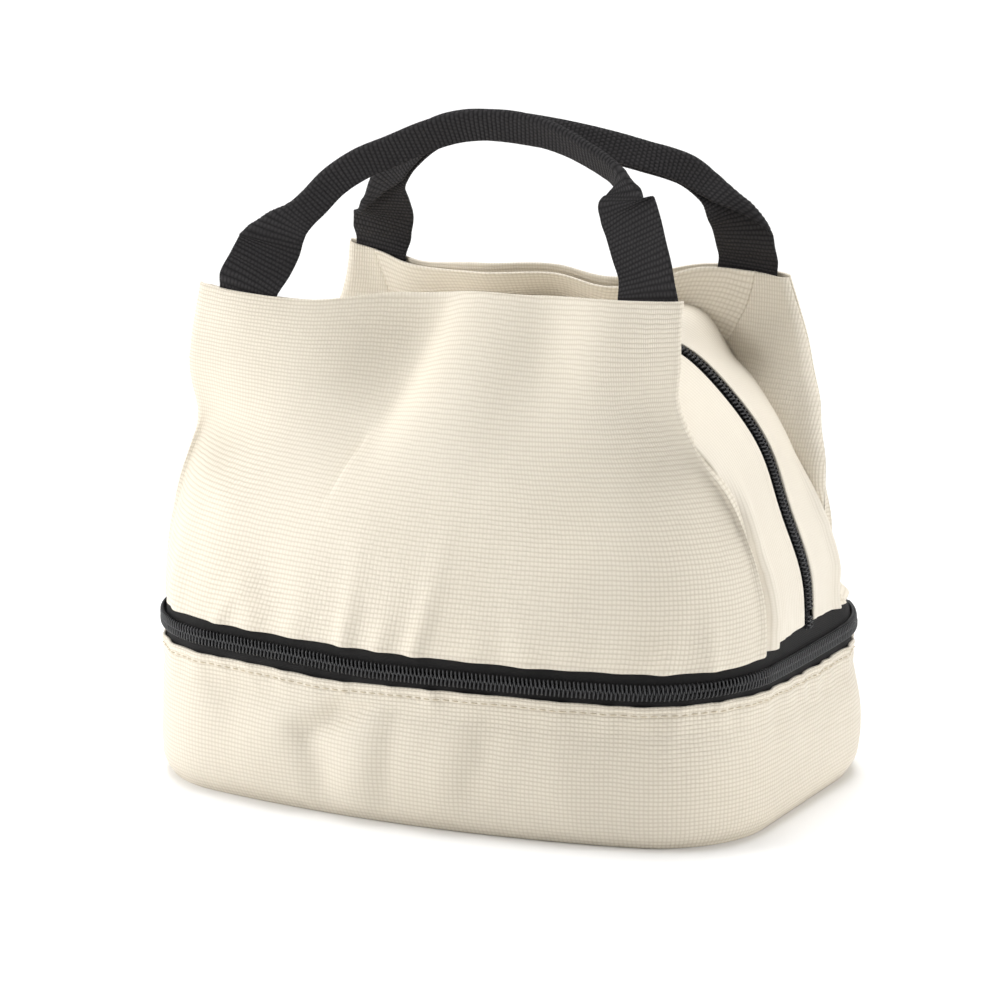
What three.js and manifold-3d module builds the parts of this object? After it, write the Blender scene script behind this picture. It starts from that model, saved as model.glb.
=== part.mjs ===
// Soft two-compartment cooler bag. Millimetres, +Z up, front at -Y, origin under the middle of the base.
import * as THREE from "three";
import { mergeVertices } from "three/addons/utils/BufferGeometryUtils.js";
import Module from "manifold-3d";

const wasm = await Module();
wasm.setup();

// Plan of the bag at the wide zip: straight sides, round corners, bowed front and back.
const HALF_WIDTH = 130;
const HALF_DEPTH = 95;
const CORNER_R = 49;
const BOW_R = 430;
const ARC_STEPS = 6;

// Heights of the tub rim, the wide chain, and the foot and head of the upper panels.
const TUB_TOP = 57;
const CHAIN_Z = 64;
const PANEL_FOOT = 71;
const PANEL_HEAD = 201;
const EAR_RISE = 4;

// Plies of the wall, from the outside in, and the gap between neighbours.
const CLOTH = 1.2;
const TAPE = 0.8;
const FOAM = 4;
const LINER = 0.8;
const FIT = 0.3;

// Lower tub.
const BOARD = 2;
const BASE_INSET = 1;
const WALL_BULGE = 3;
const BULGE_TOP = 46;
const FOOT_INSET = 2.5;
const FOOT_ROUND = 10;
const TAPE_TUCK = 9;
const BINDING = 1.5;

// Wide zip: tooth pitch and chain section.
const BELT_PITCH = 3.2;
const BELT_HALF = 4;
const BELT_TOOTH = 2.3;
const TOOTH_GAP = 0.55;
const CHAIN_PROUD = 1.3;
const BELT_END_SHARE = 0.6;
const BELT_PARK_Y = 24;
const BELT_PARK_LEAD = 13;

// Arch zip and the dome that carries it.
const SHOULDER_R = 98;
const SHOULDER_Z = 86;
const SHOULDER_TURN = THREE.MathUtils.degToRad(17);
const CROWN = 4;
const CROWN_TOP = 105;
const ARCH_PITCH = 4.2;
const ARCH_HALF = 3;
const ARCH_TOOTH = 0.8;
const ARCH_GAP = 0.2;
const ARCH_PROUD = 1;
const STRIP_CLEAR = 4.75;
const TAPE_REACH = 8;
const ARCH_PARK_TOP = 108;
const ARCH_STOP_TOP = 78;
const ARCH_PARK_Z = 97;
const LINING = 2;
const LINING_INSET = 8;

// Upper panels and their free ears.
const HEAD_HALF_DEPTH = 42;
const EAR_HALF = HALF_WIDTH - 24;
const EAR_TAPER = 4;
const EAR_FOOT_Z = 145;
const EAR_SPREAD = 14;
const SPREAD_START = 115;
const UPPER_FOAM = 3.5;
const FOAM_SHARE = 0.91;
const FOAM_DROP = 12;
const LEAN_DROP = 3.5;

// Webbing handles.
const WEBBING = 25;
const WEBBING_THICK = 1.6;
const HANDLE_X = EAR_HALF - 20;
const TAIL_DEPTH = 22;
const GRIP_HALF = 6.4;
const GRIP_THICK = 2.4;
const GRIP_START = 0.1;
const GRIP_FULL = 0.24;
const SEWN_SHARE = 0.05;
const HANDLE_PATH = [
  [0.994, -2, 12],
  [0.895, 5, 29],
  [0.698, 14.5, 44],
  [0.43, 23.5, 56.5],
  [0, 29, 63],
];
const HANDLE_FOOT_Y = -HEAD_HALF_DEPTH - 4;
const HANDLE_LEAN = THREE.MathUtils.degToRad(30);

const CORNER_X = HALF_WIDTH - CORNER_R;
const BOW_Y = BOW_R - HALF_DEPTH;
const SIDE_Y = Math.sqrt((BOW_R - CORNER_R) ** 2 - CORNER_X ** 2) - BOW_Y;
const BOW_TURN = Math.asin(CORNER_X / (BOW_R - CORNER_R));
const BOW_RUN = BOW_R * BOW_TURN;
const PANEL_RUN = BOW_RUN + CORNER_R * (Math.PI / 2 - BOW_TURN);
const QUARTER = PANEL_RUN + SIDE_Y;
const BELT_END = QUARTER + SIDE_Y + BELT_END_SHARE * (PANEL_RUN - BOW_RUN);
const BELT_PARK = -(QUARTER + BELT_PARK_Y - BELT_PARK_LEAD);

const SHOULDER_X = HALF_WIDTH - SHOULDER_R;
const TOP_R = SHOULDER_R + SHOULDER_X / Math.sin(SHOULDER_TURN);
const TOP_Z = SHOULDER_Z - SHOULDER_X / Math.tan(SHOULDER_TURN);
const TOP_RUN = TOP_R * SHOULDER_TURN;
const SHOULDER_RUN = SHOULDER_R * (Math.PI / 2 - SHOULDER_TURN);
const ARCH_END = TOP_RUN + SHOULDER_RUN + SHOULDER_Z - PANEL_FOOT;

const TAPE_OUT = -(CLOTH + FIT);
const TAPE_IN = TAPE_OUT - TAPE;
const FOAM_OUT = TAPE_IN - FIT;
const FOAM_IN = FOAM_OUT - FOAM;
const LINER_OUT = FOAM_IN - FIT;
const CHAIN_LOW = TAPE_OUT + FIT;

const { lerp, smoothstep, clamp } = THREE.MathUtils;

// Place and outward normal on the plan, by run from the front middle, positive to the right.
function plan(run) {
  const wrapped = THREE.MathUtils.euclideanModulo(run + 2 * QUARTER, 4 * QUARTER) - 2 * QUARTER;
  const side = Math.sign(wrapped) || 1;
  const far = Math.abs(wrapped) > QUARTER;
  const s = far ? 2 * QUARTER - Math.abs(wrapped) : Math.abs(wrapped);
  const turn = far ? -1 : 1;
  if (s > PANEL_RUN) {
    return { x: side * HALF_WIDTH, y: turn * (s - QUARTER), nx: side, ny: 0 };
  }
  const onBow = s < BOW_RUN;
  const angle = onBow ? s / BOW_R : BOW_TURN + (s - BOW_RUN) / CORNER_R;
  const nx = Math.sin(angle);
  const ny = -Math.cos(angle);
  const x = onBow ? BOW_R * nx : CORNER_X + CORNER_R * nx;
  const y = onBow ? BOW_Y + BOW_R * ny : -SIDE_Y + CORNER_R * ny;
  return { x: side * x, y: turn * y, nx: side * nx, ny: turn * ny };
}

function belt(run, z, off) {
  const p = plan(run);
  return new THREE.Vector3(p.x + off * p.nx, p.y + off * p.ny, z);
}

// Closed body from points and faces; faces are turned round when they point inward.
function solid(points, faces) {
  let volume = 0;
  const cross = new THREE.Vector3();
  for (const [a, b, c] of faces) {
    volume += points[a].dot(cross.crossVectors(points[b], points[c]));
  }
  const geometry = new THREE.BufferGeometry().setFromPoints(points);
  geometry.setIndex(faces.flatMap(([a, b, c]) => (volume < 0 ? [a, c, b] : [a, b, c])));
  return geometry;
}

function even(from, to, count) {
  return Array.from({ length: count + 1 }, (_, i) => lerp(from, to, i / count));
}

// Runs along the plan where every ply has its corners, so that the plies nest.
function stations(from, to) {
  const corner = even(BOW_RUN, PANEL_RUN, ARC_STEPS);
  const quarter = [...even(0, BOW_RUN, ARC_STEPS / 2), ...corner, QUARTER];
  const half = [...quarter, ...quarter.map((s) => 2 * QUARTER - s)];
  const marks = half.flatMap((s) => [s, -s, 4 * QUARTER - s]).map((s) => Math.round(s * 1e6) / 1e6);
  const sorted = [...new Set(marks)].sort((a, b) => a - b);
  return [from, ...sorted.filter((s) => s > from + 1 && s < to - 1), to];
}

function archStations(from, to) {
  const shoulder = even(TOP_RUN, TOP_RUN + SHOULDER_RUN, ARC_STEPS + 4);
  const half = [...even(0, TOP_RUN, ARC_STEPS / 2), ...shoulder.slice(1)];
  const marks = [...half.map((s) => -s).reverse(), ...half.slice(1)];
  return [from, ...marks.filter((s) => s > from + 1 && s < to - 1), to];
}

// Body between an outer and an inner skin, each a function of a run from the list and v from 0 to 1.
function slab(outer, inner, runs, nv, ring = false) {
  const columns = runs.length;
  const nu = ring ? columns : columns - 1;
  const points = [];
  for (const skin of [outer, inner]) {
    for (let i = 0; i < columns; i += 1) {
      for (let j = 0; j <= nv; j += 1) {
        points.push(skin(runs[i], j / nv));
      }
    }
  }
  const at = (skin, i, j) => (skin * columns + (i % columns)) * (nv + 1) + j;
  const faces = [];
  const quad = (a, b, c, d) => faces.push([a, b, c], [a, c, d]);
  for (let i = 0; i < nu; i += 1) {
    for (let j = 0; j < nv; j += 1) {
      quad(at(0, i, j), at(0, i + 1, j), at(0, i + 1, j + 1), at(0, i, j + 1));
      quad(at(1, i, j), at(1, i, j + 1), at(1, i + 1, j + 1), at(1, i + 1, j));
    }
    quad(at(1, i, 0), at(1, i + 1, 0), at(0, i + 1, 0), at(0, i, 0));
    quad(at(0, i, nv), at(0, i + 1, nv), at(1, i + 1, nv), at(1, i, nv));
  }
  for (let j = 0; j < nv && !ring; j += 1) {
    quad(at(0, 0, j), at(0, 0, j + 1), at(1, 0, j + 1), at(1, 0, j));
    quad(at(0, nu, j + 1), at(0, nu, j), at(1, nu, j), at(1, nu, j + 1));
  }
  return solid(points, faces);
}

// One half of a zip chain: a spine with pointed teeth along a curve at(run, across, off).
function comb(at, start, end, pitch, base, root, tip, low, high) {
  const teeth = Math.round((end - start) / pitch);
  const step = (end - start) / teeth;
  const points = [];
  const faces = [];
  const quad = (a, b, c, d) => faces.push([a, b, c], [a, c, d]);
  for (let i = 0; i <= teeth; i += 1) {
    const run = start + i * step;
    points.push(at(run, base, low), at(run, base, high), at(run, root, low), at(run, root, high));
    points.push(at(run + step / 2, tip, low), at(run + step / 2, tip, high));
  }
  points.length -= 2;
  for (let i = 0; i < teeth; i += 1) {
    const k = 6 * i;
    const [baseLow, baseHigh, rootLow, rootHigh, tipLow] = [k, k + 1, k + 2, k + 3, k + 4];
    const [tipHigh, nextBaseLow, nextBaseHigh, nextLow, nextHigh] = [k + 5, k + 6, k + 7, k + 8, k + 9];
    quad(baseHigh, nextBaseHigh, nextHigh, rootHigh);
    faces.push([rootHigh, nextHigh, tipHigh]);
    quad(baseLow, rootLow, nextLow, nextBaseLow);
    faces.push([rootLow, tipLow, nextLow]);
    quad(baseLow, nextBaseLow, nextBaseHigh, baseHigh);
    quad(rootHigh, tipHigh, tipLow, rootLow);
    quad(tipHigh, nextHigh, nextLow, tipLow);
  }
  const last = 6 * teeth;
  quad(0, 1, 3, 2);
  quad(last, last + 2, last + 3, last + 1);
  return solid(points, faces);
}

// Flat outline of the plan, grown by off.
function planShape(off, Kind = THREE.Shape) {
  const corner = CORNER_R + off;
  const bow = BOW_R + off;
  const down = -Math.PI / 2;
  const up = Math.PI / 2;
  const shape = new Kind();
  shape.absarc(0, BOW_Y, bow, down - BOW_TURN, down + BOW_TURN);
  shape.absarc(CORNER_X, -SIDE_Y, corner, down + BOW_TURN, 0);
  shape.absarc(CORNER_X, SIDE_Y, corner, 0, up - BOW_TURN);
  shape.absarc(0, -BOW_Y, bow, up - BOW_TURN, up + BOW_TURN);
  shape.absarc(-CORNER_X, SIDE_Y, corner, up + BOW_TURN, Math.PI);
  shape.absarc(-CORNER_X, -SIDE_Y, corner, Math.PI, Math.PI * 1.5 - BOW_TURN);
  return shape;
}

function welded(geometry) {
  const bare = new THREE.BufferGeometry().setAttribute("position", geometry.getAttribute("position"));
  if (geometry.index) {
    bare.setIndex(geometry.index);
  }
  return mergeVertices(bare, 1e-3);
}

function extrude(shape, low, high, segments = ARC_STEPS / 2) {
  const options = { depth: high - low, bevelEnabled: false, curveSegments: segments };
  return welded(new THREE.ExtrudeGeometry(shape, options).translate(0, 0, low));
}

function plate(off, low, high) {
  return extrude(planShape(off), low, high);
}

function rim(outer, inner, low, high) {
  const shape = planShape(outer);
  shape.holes.push(planShape(inner, THREE.Path));
  return extrude(shape, low, high);
}

function asManifold(geometry) {
  const flat = welded(geometry);
  return new wasm.Manifold(new wasm.Mesh({
    numProp: 3,
    vertProperties: flat.getAttribute("position").array,
    triVerts: new Uint32Array(flat.index.array),
  }));
}

function asGeometry(body) {
  const mesh = body.getMesh();
  const geometry = new THREE.BufferGeometry();
  geometry.setAttribute("position", new THREE.BufferAttribute(mesh.vertProperties, 3));
  geometry.setIndex(new THREE.BufferAttribute(mesh.triVerts, 1));
  return geometry;
}

// Arch of the dome in the XZ plane, by run from the top middle, positive to the right.
function archPlan(run) {
  const side = Math.sign(run) || 1;
  const s = Math.abs(run);
  if (s > TOP_RUN + SHOULDER_RUN) {
    return { x: side * HALF_WIDTH, z: SHOULDER_Z - (s - TOP_RUN - SHOULDER_RUN), nx: side, nz: 0 };
  }
  const onTop = s < TOP_RUN;
  const angle = onTop ? s / TOP_R : SHOULDER_TURN + (s - TOP_RUN) / SHOULDER_R;
  const nx = Math.sin(angle);
  const nz = Math.cos(angle);
  const x = onTop ? TOP_R * nx : SHOULDER_X + SHOULDER_R * nx;
  const z = onTop ? TOP_Z + TOP_R * nz : SHOULDER_Z + SHOULDER_R * nz;
  return { x: side * x, z, nx: side * nx, nz };
}

// The dome is crowned: highest along the zip, lower at the seams.
function crownAt(z) {
  return CROWN * smoothstep(z, PANEL_FOOT, CROWN_TOP);
}

function arch(run, y, off) {
  const p = archPlan(run);
  const lift = off - crownAt(p.z) * (y / SIDE_Y) ** 2;
  return new THREE.Vector3(p.x + lift * p.nx, y, p.z + lift * p.nz);
}

function archRunAt(z) {
  if (z < SHOULDER_Z) {
    return TOP_RUN + SHOULDER_RUN + SHOULDER_Z - z;
  }
  return TOP_RUN + SHOULDER_R * (Math.acos((z - SHOULDER_Z) / SHOULDER_R) - SHOULDER_TURN);
}

function seamHalfWidth(z) {
  const radius = SHOULDER_R - crownAt(z);
  return SHOULDER_X + Math.sqrt(Math.max(0, radius ** 2 - Math.max(0, z - SHOULDER_Z) ** 2));
}

function archHeight(x) {
  const reach = Math.abs(x);
  if (reach < TOP_R * Math.sin(SHOULDER_TURN)) {
    return TOP_Z + Math.sqrt(TOP_R ** 2 - reach ** 2);
  }
  return SHOULDER_Z + Math.sqrt(Math.max(0, SHOULDER_R ** 2 - (reach - SHOULDER_X) ** 2));
}

// Upper panel: at each height the plan is narrowed to the dome seam, then to the ear.
function panelHalfWidth(z) {
  const ear = EAR_HALF - EAR_TAPER * smoothstep(z, EAR_FOOT_Z, PANEL_HEAD);
  return Math.max(seamHalfWidth(z), ear);
}

function panelEdge(z) {
  return SIDE_Y + EAR_SPREAD * smoothstep(z, SPREAD_START, PANEL_HEAD + EAR_RISE);
}

function panelDepth(share, z) {
  const t = clamp((z - PANEL_FOOT) / (PANEL_HEAD - PANEL_FOOT), 0, 1);
  const edge = panelEdge(z);
  return edge + (lerp(HALF_DEPTH, HEAD_HALF_DEPTH, t) - edge) * share ** (1 + 2 * t);
}

function panelSkin(u, z) {
  const p = plan(u * PANEL_RUN);
  const share = clamp((-p.y - SIDE_Y) / (HALF_DEPTH - SIDE_Y), 0, 1);
  return new THREE.Vector3((p.x * panelHalfWidth(z)) / HALF_WIDTH, -panelDepth(share, z), z);
}

function panel(u, z, off) {
  const step = 0.004;
  const across = panelSkin(Math.min(1, u + step), z).sub(panelSkin(Math.max(-1, u - step), z));
  const rise = panelSkin(u, z + step * 100).sub(panelSkin(u, z));
  return panelSkin(u, z).addScaledVector(across.cross(rise).normalize(), off);
}

function panelTop(u) {
  return PANEL_HEAD + EAR_RISE * u * u;
}

// Distance of the panel from the middle plane at a place on the dome.
function panelDepthAt(x, z) {
  const reach = Math.min(HALF_WIDTH, (Math.abs(x) * HALF_WIDTH) / panelHalfWidth(z));
  const onBow = reach < BOW_R * Math.sin(BOW_TURN);
  const centre = onBow ? [0, BOW_Y, BOW_R] : [CORNER_X, -SIDE_Y, CORNER_R];
  const y = centre[1] - Math.sqrt(centre[2] ** 2 - (reach - centre[0]) ** 2);
  return panelDepth(clamp((-y - SIDE_Y) / (HALF_DEPTH - SIDE_Y), 0, 1), z);
}

// Run of the gusset seam: the strip butts on the panel edge below and on its inner face above.
function seamDepth(run) {
  const p = archPlan(run);
  const lift = crownAt(p.z);
  const x = Math.abs(p.x) - lift * Math.abs(p.nx);
  const z = p.z - lift * p.nz;
  const inside = smoothstep(panelHalfWidth(z) - x, 6, 18);
  return lerp(panelEdge(z - 3 * CLOTH), panelDepthAt(x, z) - 1.6 * CLOTH, inside) - 2 * FIT;
}

const group = new THREE.Group();
const CREAM = new THREE.MeshStandardMaterial({ color: 0xf0ead8, roughness: 0.9 });
const BLACK = new THREE.MeshStandardMaterial({ color: 0x1c1c1e, roughness: 0.8 });
const SILVER = new THREE.MeshStandardMaterial({ color: 0xb9bcc0, roughness: 0.5 });
const FOAMY = new THREE.MeshStandardMaterial({ color: 0xe4e6e8, roughness: 1 });
const METAL = new THREE.MeshStandardMaterial({ color: 0x2a2a2c, roughness: 0.4, metalness: 0.6 });

function add(name, geometry, material) {
  const mesh = new THREE.Mesh(geometry, material);
  mesh.name = name;
  group.add(mesh);
}

// Lower tub.
function wallOff(z) {
  const foot = Math.max(0, 1 - z / FOOT_ROUND);
  const belly = z < BULGE_TOP ? Math.sin((Math.PI * z) / BULGE_TOP) : 0;
  return WALL_BULGE * belly - FOOT_INSET * foot ** 2;
}

const WALL_FOOT = CLOTH + FIT;
const BOARD_TOP = WALL_FOOT + BOARD;
const FLOOR_FOOT = BOARD_TOP + FIT;
const FLOOR_TOP = FLOOR_FOOT + FOAM;
const LINER_FOOT = FLOOR_TOP + FIT;
const BINDING_FOOT = TUB_TOP - FIT - BINDING;
const FLOOR_OFF = -(FOOT_INSET + CLOTH);
const around = stations(-2 * QUARTER, 2 * QUARTER).slice(1);
const wallRows = even(WALL_FOOT, TUB_TOP, 6);
const foamRows = [LINER_FOOT, ...wallRows.slice(2, -1), BINDING_FOOT - FIT];
const wallPly = (rows, outer, inner) => {
  const height = (v) => rows[Math.round(v * (rows.length - 1))];
  const skin = (off) => (run, v) => belt(run, height(v), wallOff(height(v)) + off);
  return slab(skin(outer), skin(inner), around, rows.length - 1, true);
};

add("base_panel", plate(-BASE_INSET, 0, CLOTH), CREAM);
add("base_board", plate(FLOOR_OFF, WALL_FOOT, BOARD_TOP), BLACK);
add("base_foam", plate(FLOOR_OFF, FLOOR_FOOT, FLOOR_TOP), FOAMY);
add("lower_wall", wallPly(wallRows, 0, -CLOTH), CREAM);
add("lower_wall_foam", wallPly(foamRows, FOAM_OUT, FOAM_IN), FOAMY);
const tray = asManifold(plate(LINER_OUT, LINER_FOOT, BINDING_FOOT - FIT));
const hollow = asManifold(plate(LINER_OUT - LINER, LINER_FOOT + LINER, TUB_TOP));
add("lower_liner", asGeometry(tray.subtract(hollow)), SILVER);
add("lower_rim_binding", rim(FOAM_OUT, LINER_OUT - LINER, BINDING_FOOT, TUB_TOP - FIT), BLACK);

// Wide zip: two tapes, two rows of teeth that mesh, and the sewn end where the slider parks.
const beltBand = (from, to, low, high, outer, inner) => slab(
  (run, v) => belt(run, lerp(low, high, v), outer),
  (run, v) => belt(run, lerp(low, high, v), inner),
  stations(from, to), 1,
);
const tapeStrip = (low, high) => beltBand(-BELT_END, BELT_END, low, high, TAPE_OUT, TAPE_IN);
const hingeStrip = (low, high) => beltBand(
  BELT_END + 1, 4 * QUARTER - BELT_END - 1, low, high, TAPE_OUT, TAPE_IN,
);
const LOWER_ROOT = CHAIN_Z - (BELT_TOOTH + TOOTH_GAP) / 2;
const UPPER_ROOT = CHAIN_Z + (BELT_TOOTH + TOOTH_GAP) / 2;
const beltRow = (start, side, root) => comb(
  belt, start, start + BELT_PITCH * Math.floor((BELT_END - 2 - start) / BELT_PITCH), BELT_PITCH,
  CHAIN_Z + side * BELT_HALF, root, root - side * BELT_TOOTH, CHAIN_LOW, CHAIN_PROUD,
);
add("belt_zip_lower_tape", tapeStrip(TUB_TOP - TAPE_TUCK, CHAIN_Z - 2 * FIT), BLACK);
add("belt_zip_upper_tape", tapeStrip(CHAIN_Z + 2 * FIT, PANEL_FOOT - 2 * FIT), BLACK);
add("belt_zip_lower_coil", beltRow(BELT_PARK + 1, -1, LOWER_ROOT), BLACK);
add("belt_zip_upper_coil", beltRow(BELT_PARK + 1 + BELT_PITCH / 2, 1, UPPER_ROOT), BLACK);
add("belt_zip_end", beltBand(
  -BELT_END, BELT_PARK, CHAIN_Z - BELT_HALF, CHAIN_Z + BELT_HALF, CHAIN_PROUD, CHAIN_LOW,
), BLACK);
add("rear_hinge_lower", hingeStrip(TUB_TOP - TAPE_TUCK, CHAIN_Z - FIT), CREAM);
add("rear_hinge_upper", hingeStrip(CHAIN_Z + FIT, PANEL_FOOT - 2 * FIT), CREAM);

// Insulated floor between the compartments.
const DIVIDER_FOOT = CHAIN_Z + 2;
const DIVIDER_FOAM = DIVIDER_FOOT + LINER + FIT;
const DIVIDER_TOP = DIVIDER_FOAM + FOAM + FIT;
add("divider_under_lining", plate(FOAM_OUT, DIVIDER_FOOT, DIVIDER_FOOT + LINER), SILVER);
add("divider_foam", plate(FOAM_OUT, DIVIDER_FOAM, DIVIDER_FOAM + FOAM), FOAMY);
add("divider_top_lining", plate(FOAM_OUT, DIVIDER_TOP, DIVIDER_TOP + LINER), SILVER);

// Sewn ends of the arch zip: closed chain on its own piece of tape.
const archBlock = (runs, half, outer, inner) => asManifold(slab(
  (run, v) => arch(run, half * (2 * v - 1), outer),
  (run, v) => arch(run, half * (2 * v - 1), inner),
  runs, 1,
));
const archEnd = (from, to, n) => {
  const runs = even(from, to, n);
  const chain = archBlock(runs, ARCH_HALF, ARCH_PROUD, TAPE_OUT - TAPE / 2);
  return asGeometry(chain.add(archBlock(runs, STRIP_CLEAR - FIT, TAPE_OUT, TAPE_IN)));
};
add("arch_zip_end_left", archEnd(-ARCH_END + FIT, -archRunAt(ARCH_PARK_TOP), 12), BLACK);
add("arch_zip_end_right", archEnd(archRunAt(ARCH_STOP_TOP), ARCH_END - FIT, 2), BLACK);

// The two halves of the upper bag: front at side 1, back mirrored at side -1.
const CAVITY_FOOT = DIVIDER_TOP + LINER + FIT;
const UPPER_LINER = FOAM_OUT - UPPER_FOAM - FIT;
const TAIL_OUT = -(CLOTH + 2 * FIT);
const FACING_OUT = TAIL_OUT - WEBBING_THICK - 2 * FIT;

function addHalf(name, side) {
  const flip = new THREE.Vector3(1, side, 1);
  const skin = (place) => (u, v) => place(u, v).multiply(flip);
  const panelPly = (off, low, high) => skin((u, v) => panel(u, lerp(low(u), high(u), v), off));
  const panelSlab = (outer, inner, u0, u1, low, high, nu, nv) => slab(
    panelPly(outer, low, high), panelPly(inner, low, high), even(u0, u1, nu), nv,
  );
  const strip = (off, near, far) => skin((run, v) => arch(run, -lerp(near(run), far(run), v), off));
  const stripSlab = (outer, inner, near, far, from, to, nv) => slab(
    strip(outer, near, far), strip(inner, near, far), archStations(from, to), nv,
  );
  const headX = (u) => (plan(u * PANEL_RUN).x * panelHalfWidth(PANEL_HEAD)) / HALF_WIDTH;
  const domeFoot = (u) => archHeight(headX(u)) - FOAM_DROP;
  const domeHead = (u) => archHeight(headX(u)) + EAR_RISE * (1 + u * u);
  const cavityFoot = () => CAVITY_FOOT + LEAN_DROP;

  add(`${name}_panel`, panelSlab(0, -CLOTH, -1, 1, () => PANEL_FOOT, panelTop, 26, 9), CREAM);
  add(`${name}_foam`, panelSlab(
    FOAM_OUT, FOAM_OUT - UPPER_FOAM, -FOAM_SHARE, FOAM_SHARE, cavityFoot, domeFoot, 16, 4,
  ), FOAMY);
  add(`${name}_liner`, panelSlab(
    UPPER_LINER, UPPER_LINER - LINER, -FOAM_SHARE, FOAM_SHARE, cavityFoot, domeFoot, 16, 4,
  ), SILVER);
  add(`${name}_facing`, panelSlab(
    FACING_OUT, FACING_OUT - LINER, -0.9, 0.9, domeHead, (u) => panelTop(u) - 1, 22, 1,
  ), CREAM);
  add(`${name}_gusset`, stripSlab(
    0, -CLOTH, () => STRIP_CLEAR, seamDepth, -ARCH_END, ARCH_END, 2,
  ), CREAM);
  const liningEnd = archRunAt(CAVITY_FOOT);
  add(`${name}_gusset_lining`, stripSlab(
    TAPE_OUT - FIT, TAPE_OUT - FIT - LINING, () => TAPE_REACH + FIT,
    (run) => seamDepth(run) - LINING_INSET,
    -liningEnd, liningEnd, 2,
  ), SILVER);
  add(`arch_zip_${name}_tape`, stripSlab(
    TAPE_OUT, TAPE_IN, () => 2 * FIT, () => TAPE_REACH,
    FIT - archRunAt(ARCH_PARK_TOP), archRunAt(ARCH_STOP_TOP) - FIT, 1,
  ), BLACK);
  const start = -archRunAt(ARCH_PARK_TOP) + 1 + (side > 0 ? 0 : ARCH_PITCH / 2);
  const teeth = Math.floor((archRunAt(ARCH_STOP_TOP) - 1 - start) / ARCH_PITCH);
  const row = (run, y, off) => arch(run, y, off).multiply(flip);
  add(`arch_zip_${name}_coil`, comb(
    row, start, start + teeth * ARCH_PITCH, ARCH_PITCH,
    -ARCH_HALF, -(ARCH_GAP + ARCH_TOOTH), -ARCH_GAP, CHAIN_LOW, ARCH_PROUD,
  ), BLACK);

  // Webbing: tails sewn behind the ears, then the free loop, flat at its feet and folded at the grip.
  const uAt = (x) => {
    const reach = (x * HALF_WIDTH) / panelHalfWidth(PANEL_HEAD);
    return (BOW_RUN + CORNER_R * (Math.asin((reach - CORNER_X) / CORNER_R) - BOW_TURN)) / PANEL_RUN;
  };
  const tailIn = uAt(HANDLE_X - WEBBING / 2);
  const tailOut = uAt(HANDLE_X + WEBBING / 2);
  const tailFoot = (u) => panelTop(u) - TAIL_DEPTH;
  const tailHead = (u) => panelTop(u) - FIT;
  const tail = (u0, u1) => panelSlab(
    TAIL_OUT, TAIL_OUT - WEBBING_THICK, u0, u1, tailFoot, tailHead, 3, 2,
  );
  add(`${name}_handle_tail_left`, tail(-tailOut, -tailIn), BLACK);
  add(`${name}_handle_tail_right`, tail(tailIn, tailOut), BLACK);

  const seat = (end, a, b) => {
    const u = end * uAt(HANDLE_X - (a * WEBBING) / 2);
    return panel(u, panelTop(u), TAIL_OUT - (WEBBING_THICK * (1 - b)) / 2);
  };
  const foot = new THREE.Vector3(-HANDLE_X, HANDLE_FOOT_Y, panelTop(tailOut));
  const half = [foot, ...HANDLE_PATH.map(([share, inward, rise]) => (
    new THREE.Vector3(-share * HANDLE_X, inward - HEAD_HALF_DEPTH, PANEL_HEAD + rise)
  ))];
  const mirrored = half.slice(0, -1).reverse().map((p) => new THREE.Vector3(-p.x, p.y, p.z));
  const path = new THREE.CatmullRomCurve3([...half, ...mirrored]);
  const out = new THREE.Vector3(0, -Math.cos(HANDLE_LEAN), Math.sin(HANDLE_LEAN));
  const section = [
    [-1, -0.5], [-0.8, -1], [0.8, -1], [1, -0.5],
    [1, 0.5], [0.8, 1], [-0.8, 1], [-1, 0.5],
  ];
  const rings = 34;
  const points = [];
  const faces = [];
  for (let i = 0; i <= rings; i += 1) {
    const t = i / rings;
    const centre = path.getPointAt(t);
    const across = new THREE.Vector3().crossVectors(path.getTangentAt(t), out).normalize();
    const near = Math.min(t, 1 - t);
    const fold = smoothstep(near, GRIP_START, GRIP_FULL);
    const sewn = 1 - smoothstep(near, 0, SEWN_SHARE);
    const wide = lerp(WEBBING / 2, GRIP_HALF, fold);
    const thick = lerp(WEBBING_THICK / 2, GRIP_THICK, fold);
    for (const [a, b] of section) {
      const p = centre.clone().addScaledVector(across, a * wide).addScaledVector(out, b * thick);
      points.push(p.lerp(seat(t < 0.5 ? -1 : 1, a, b), sewn).multiply(flip));
    }
  }
  const count = section.length;
  for (let i = 0; i < rings; i += 1) {
    for (let j = 0; j < count; j += 1) {
      const [a, b] = [i * count + j, i * count + ((j + 1) % count)];
      faces.push([a, b, b + count], [a, b + count, a + count]);
    }
  }
  for (let j = 1; j < count - 1; j += 1) {
    faces.push([0, j + 1, j]);
    faces.push([rings * count, rings * count + j, rings * count + j + 1]);
  }
  add(`${name}_handle`, solid(points, faces), BLACK);
}

addHalf("front", 1);
addHalf("back", -1);

// Zip slider in its own frame: X along the zip, Y across, Z out of the cloth.
const SLIDER_WALL = 1.1;
const SLIDER_PLATE = 1.6;
const BRIDGE_THICK = 2.2;
const EYE_R = 1.7;
const PULL_THICK = 1.6;
const PULL_BAR = 1.8;
const PULL_HALF = 3.4;
const WINDOW_HALF = 1.6;

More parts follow.
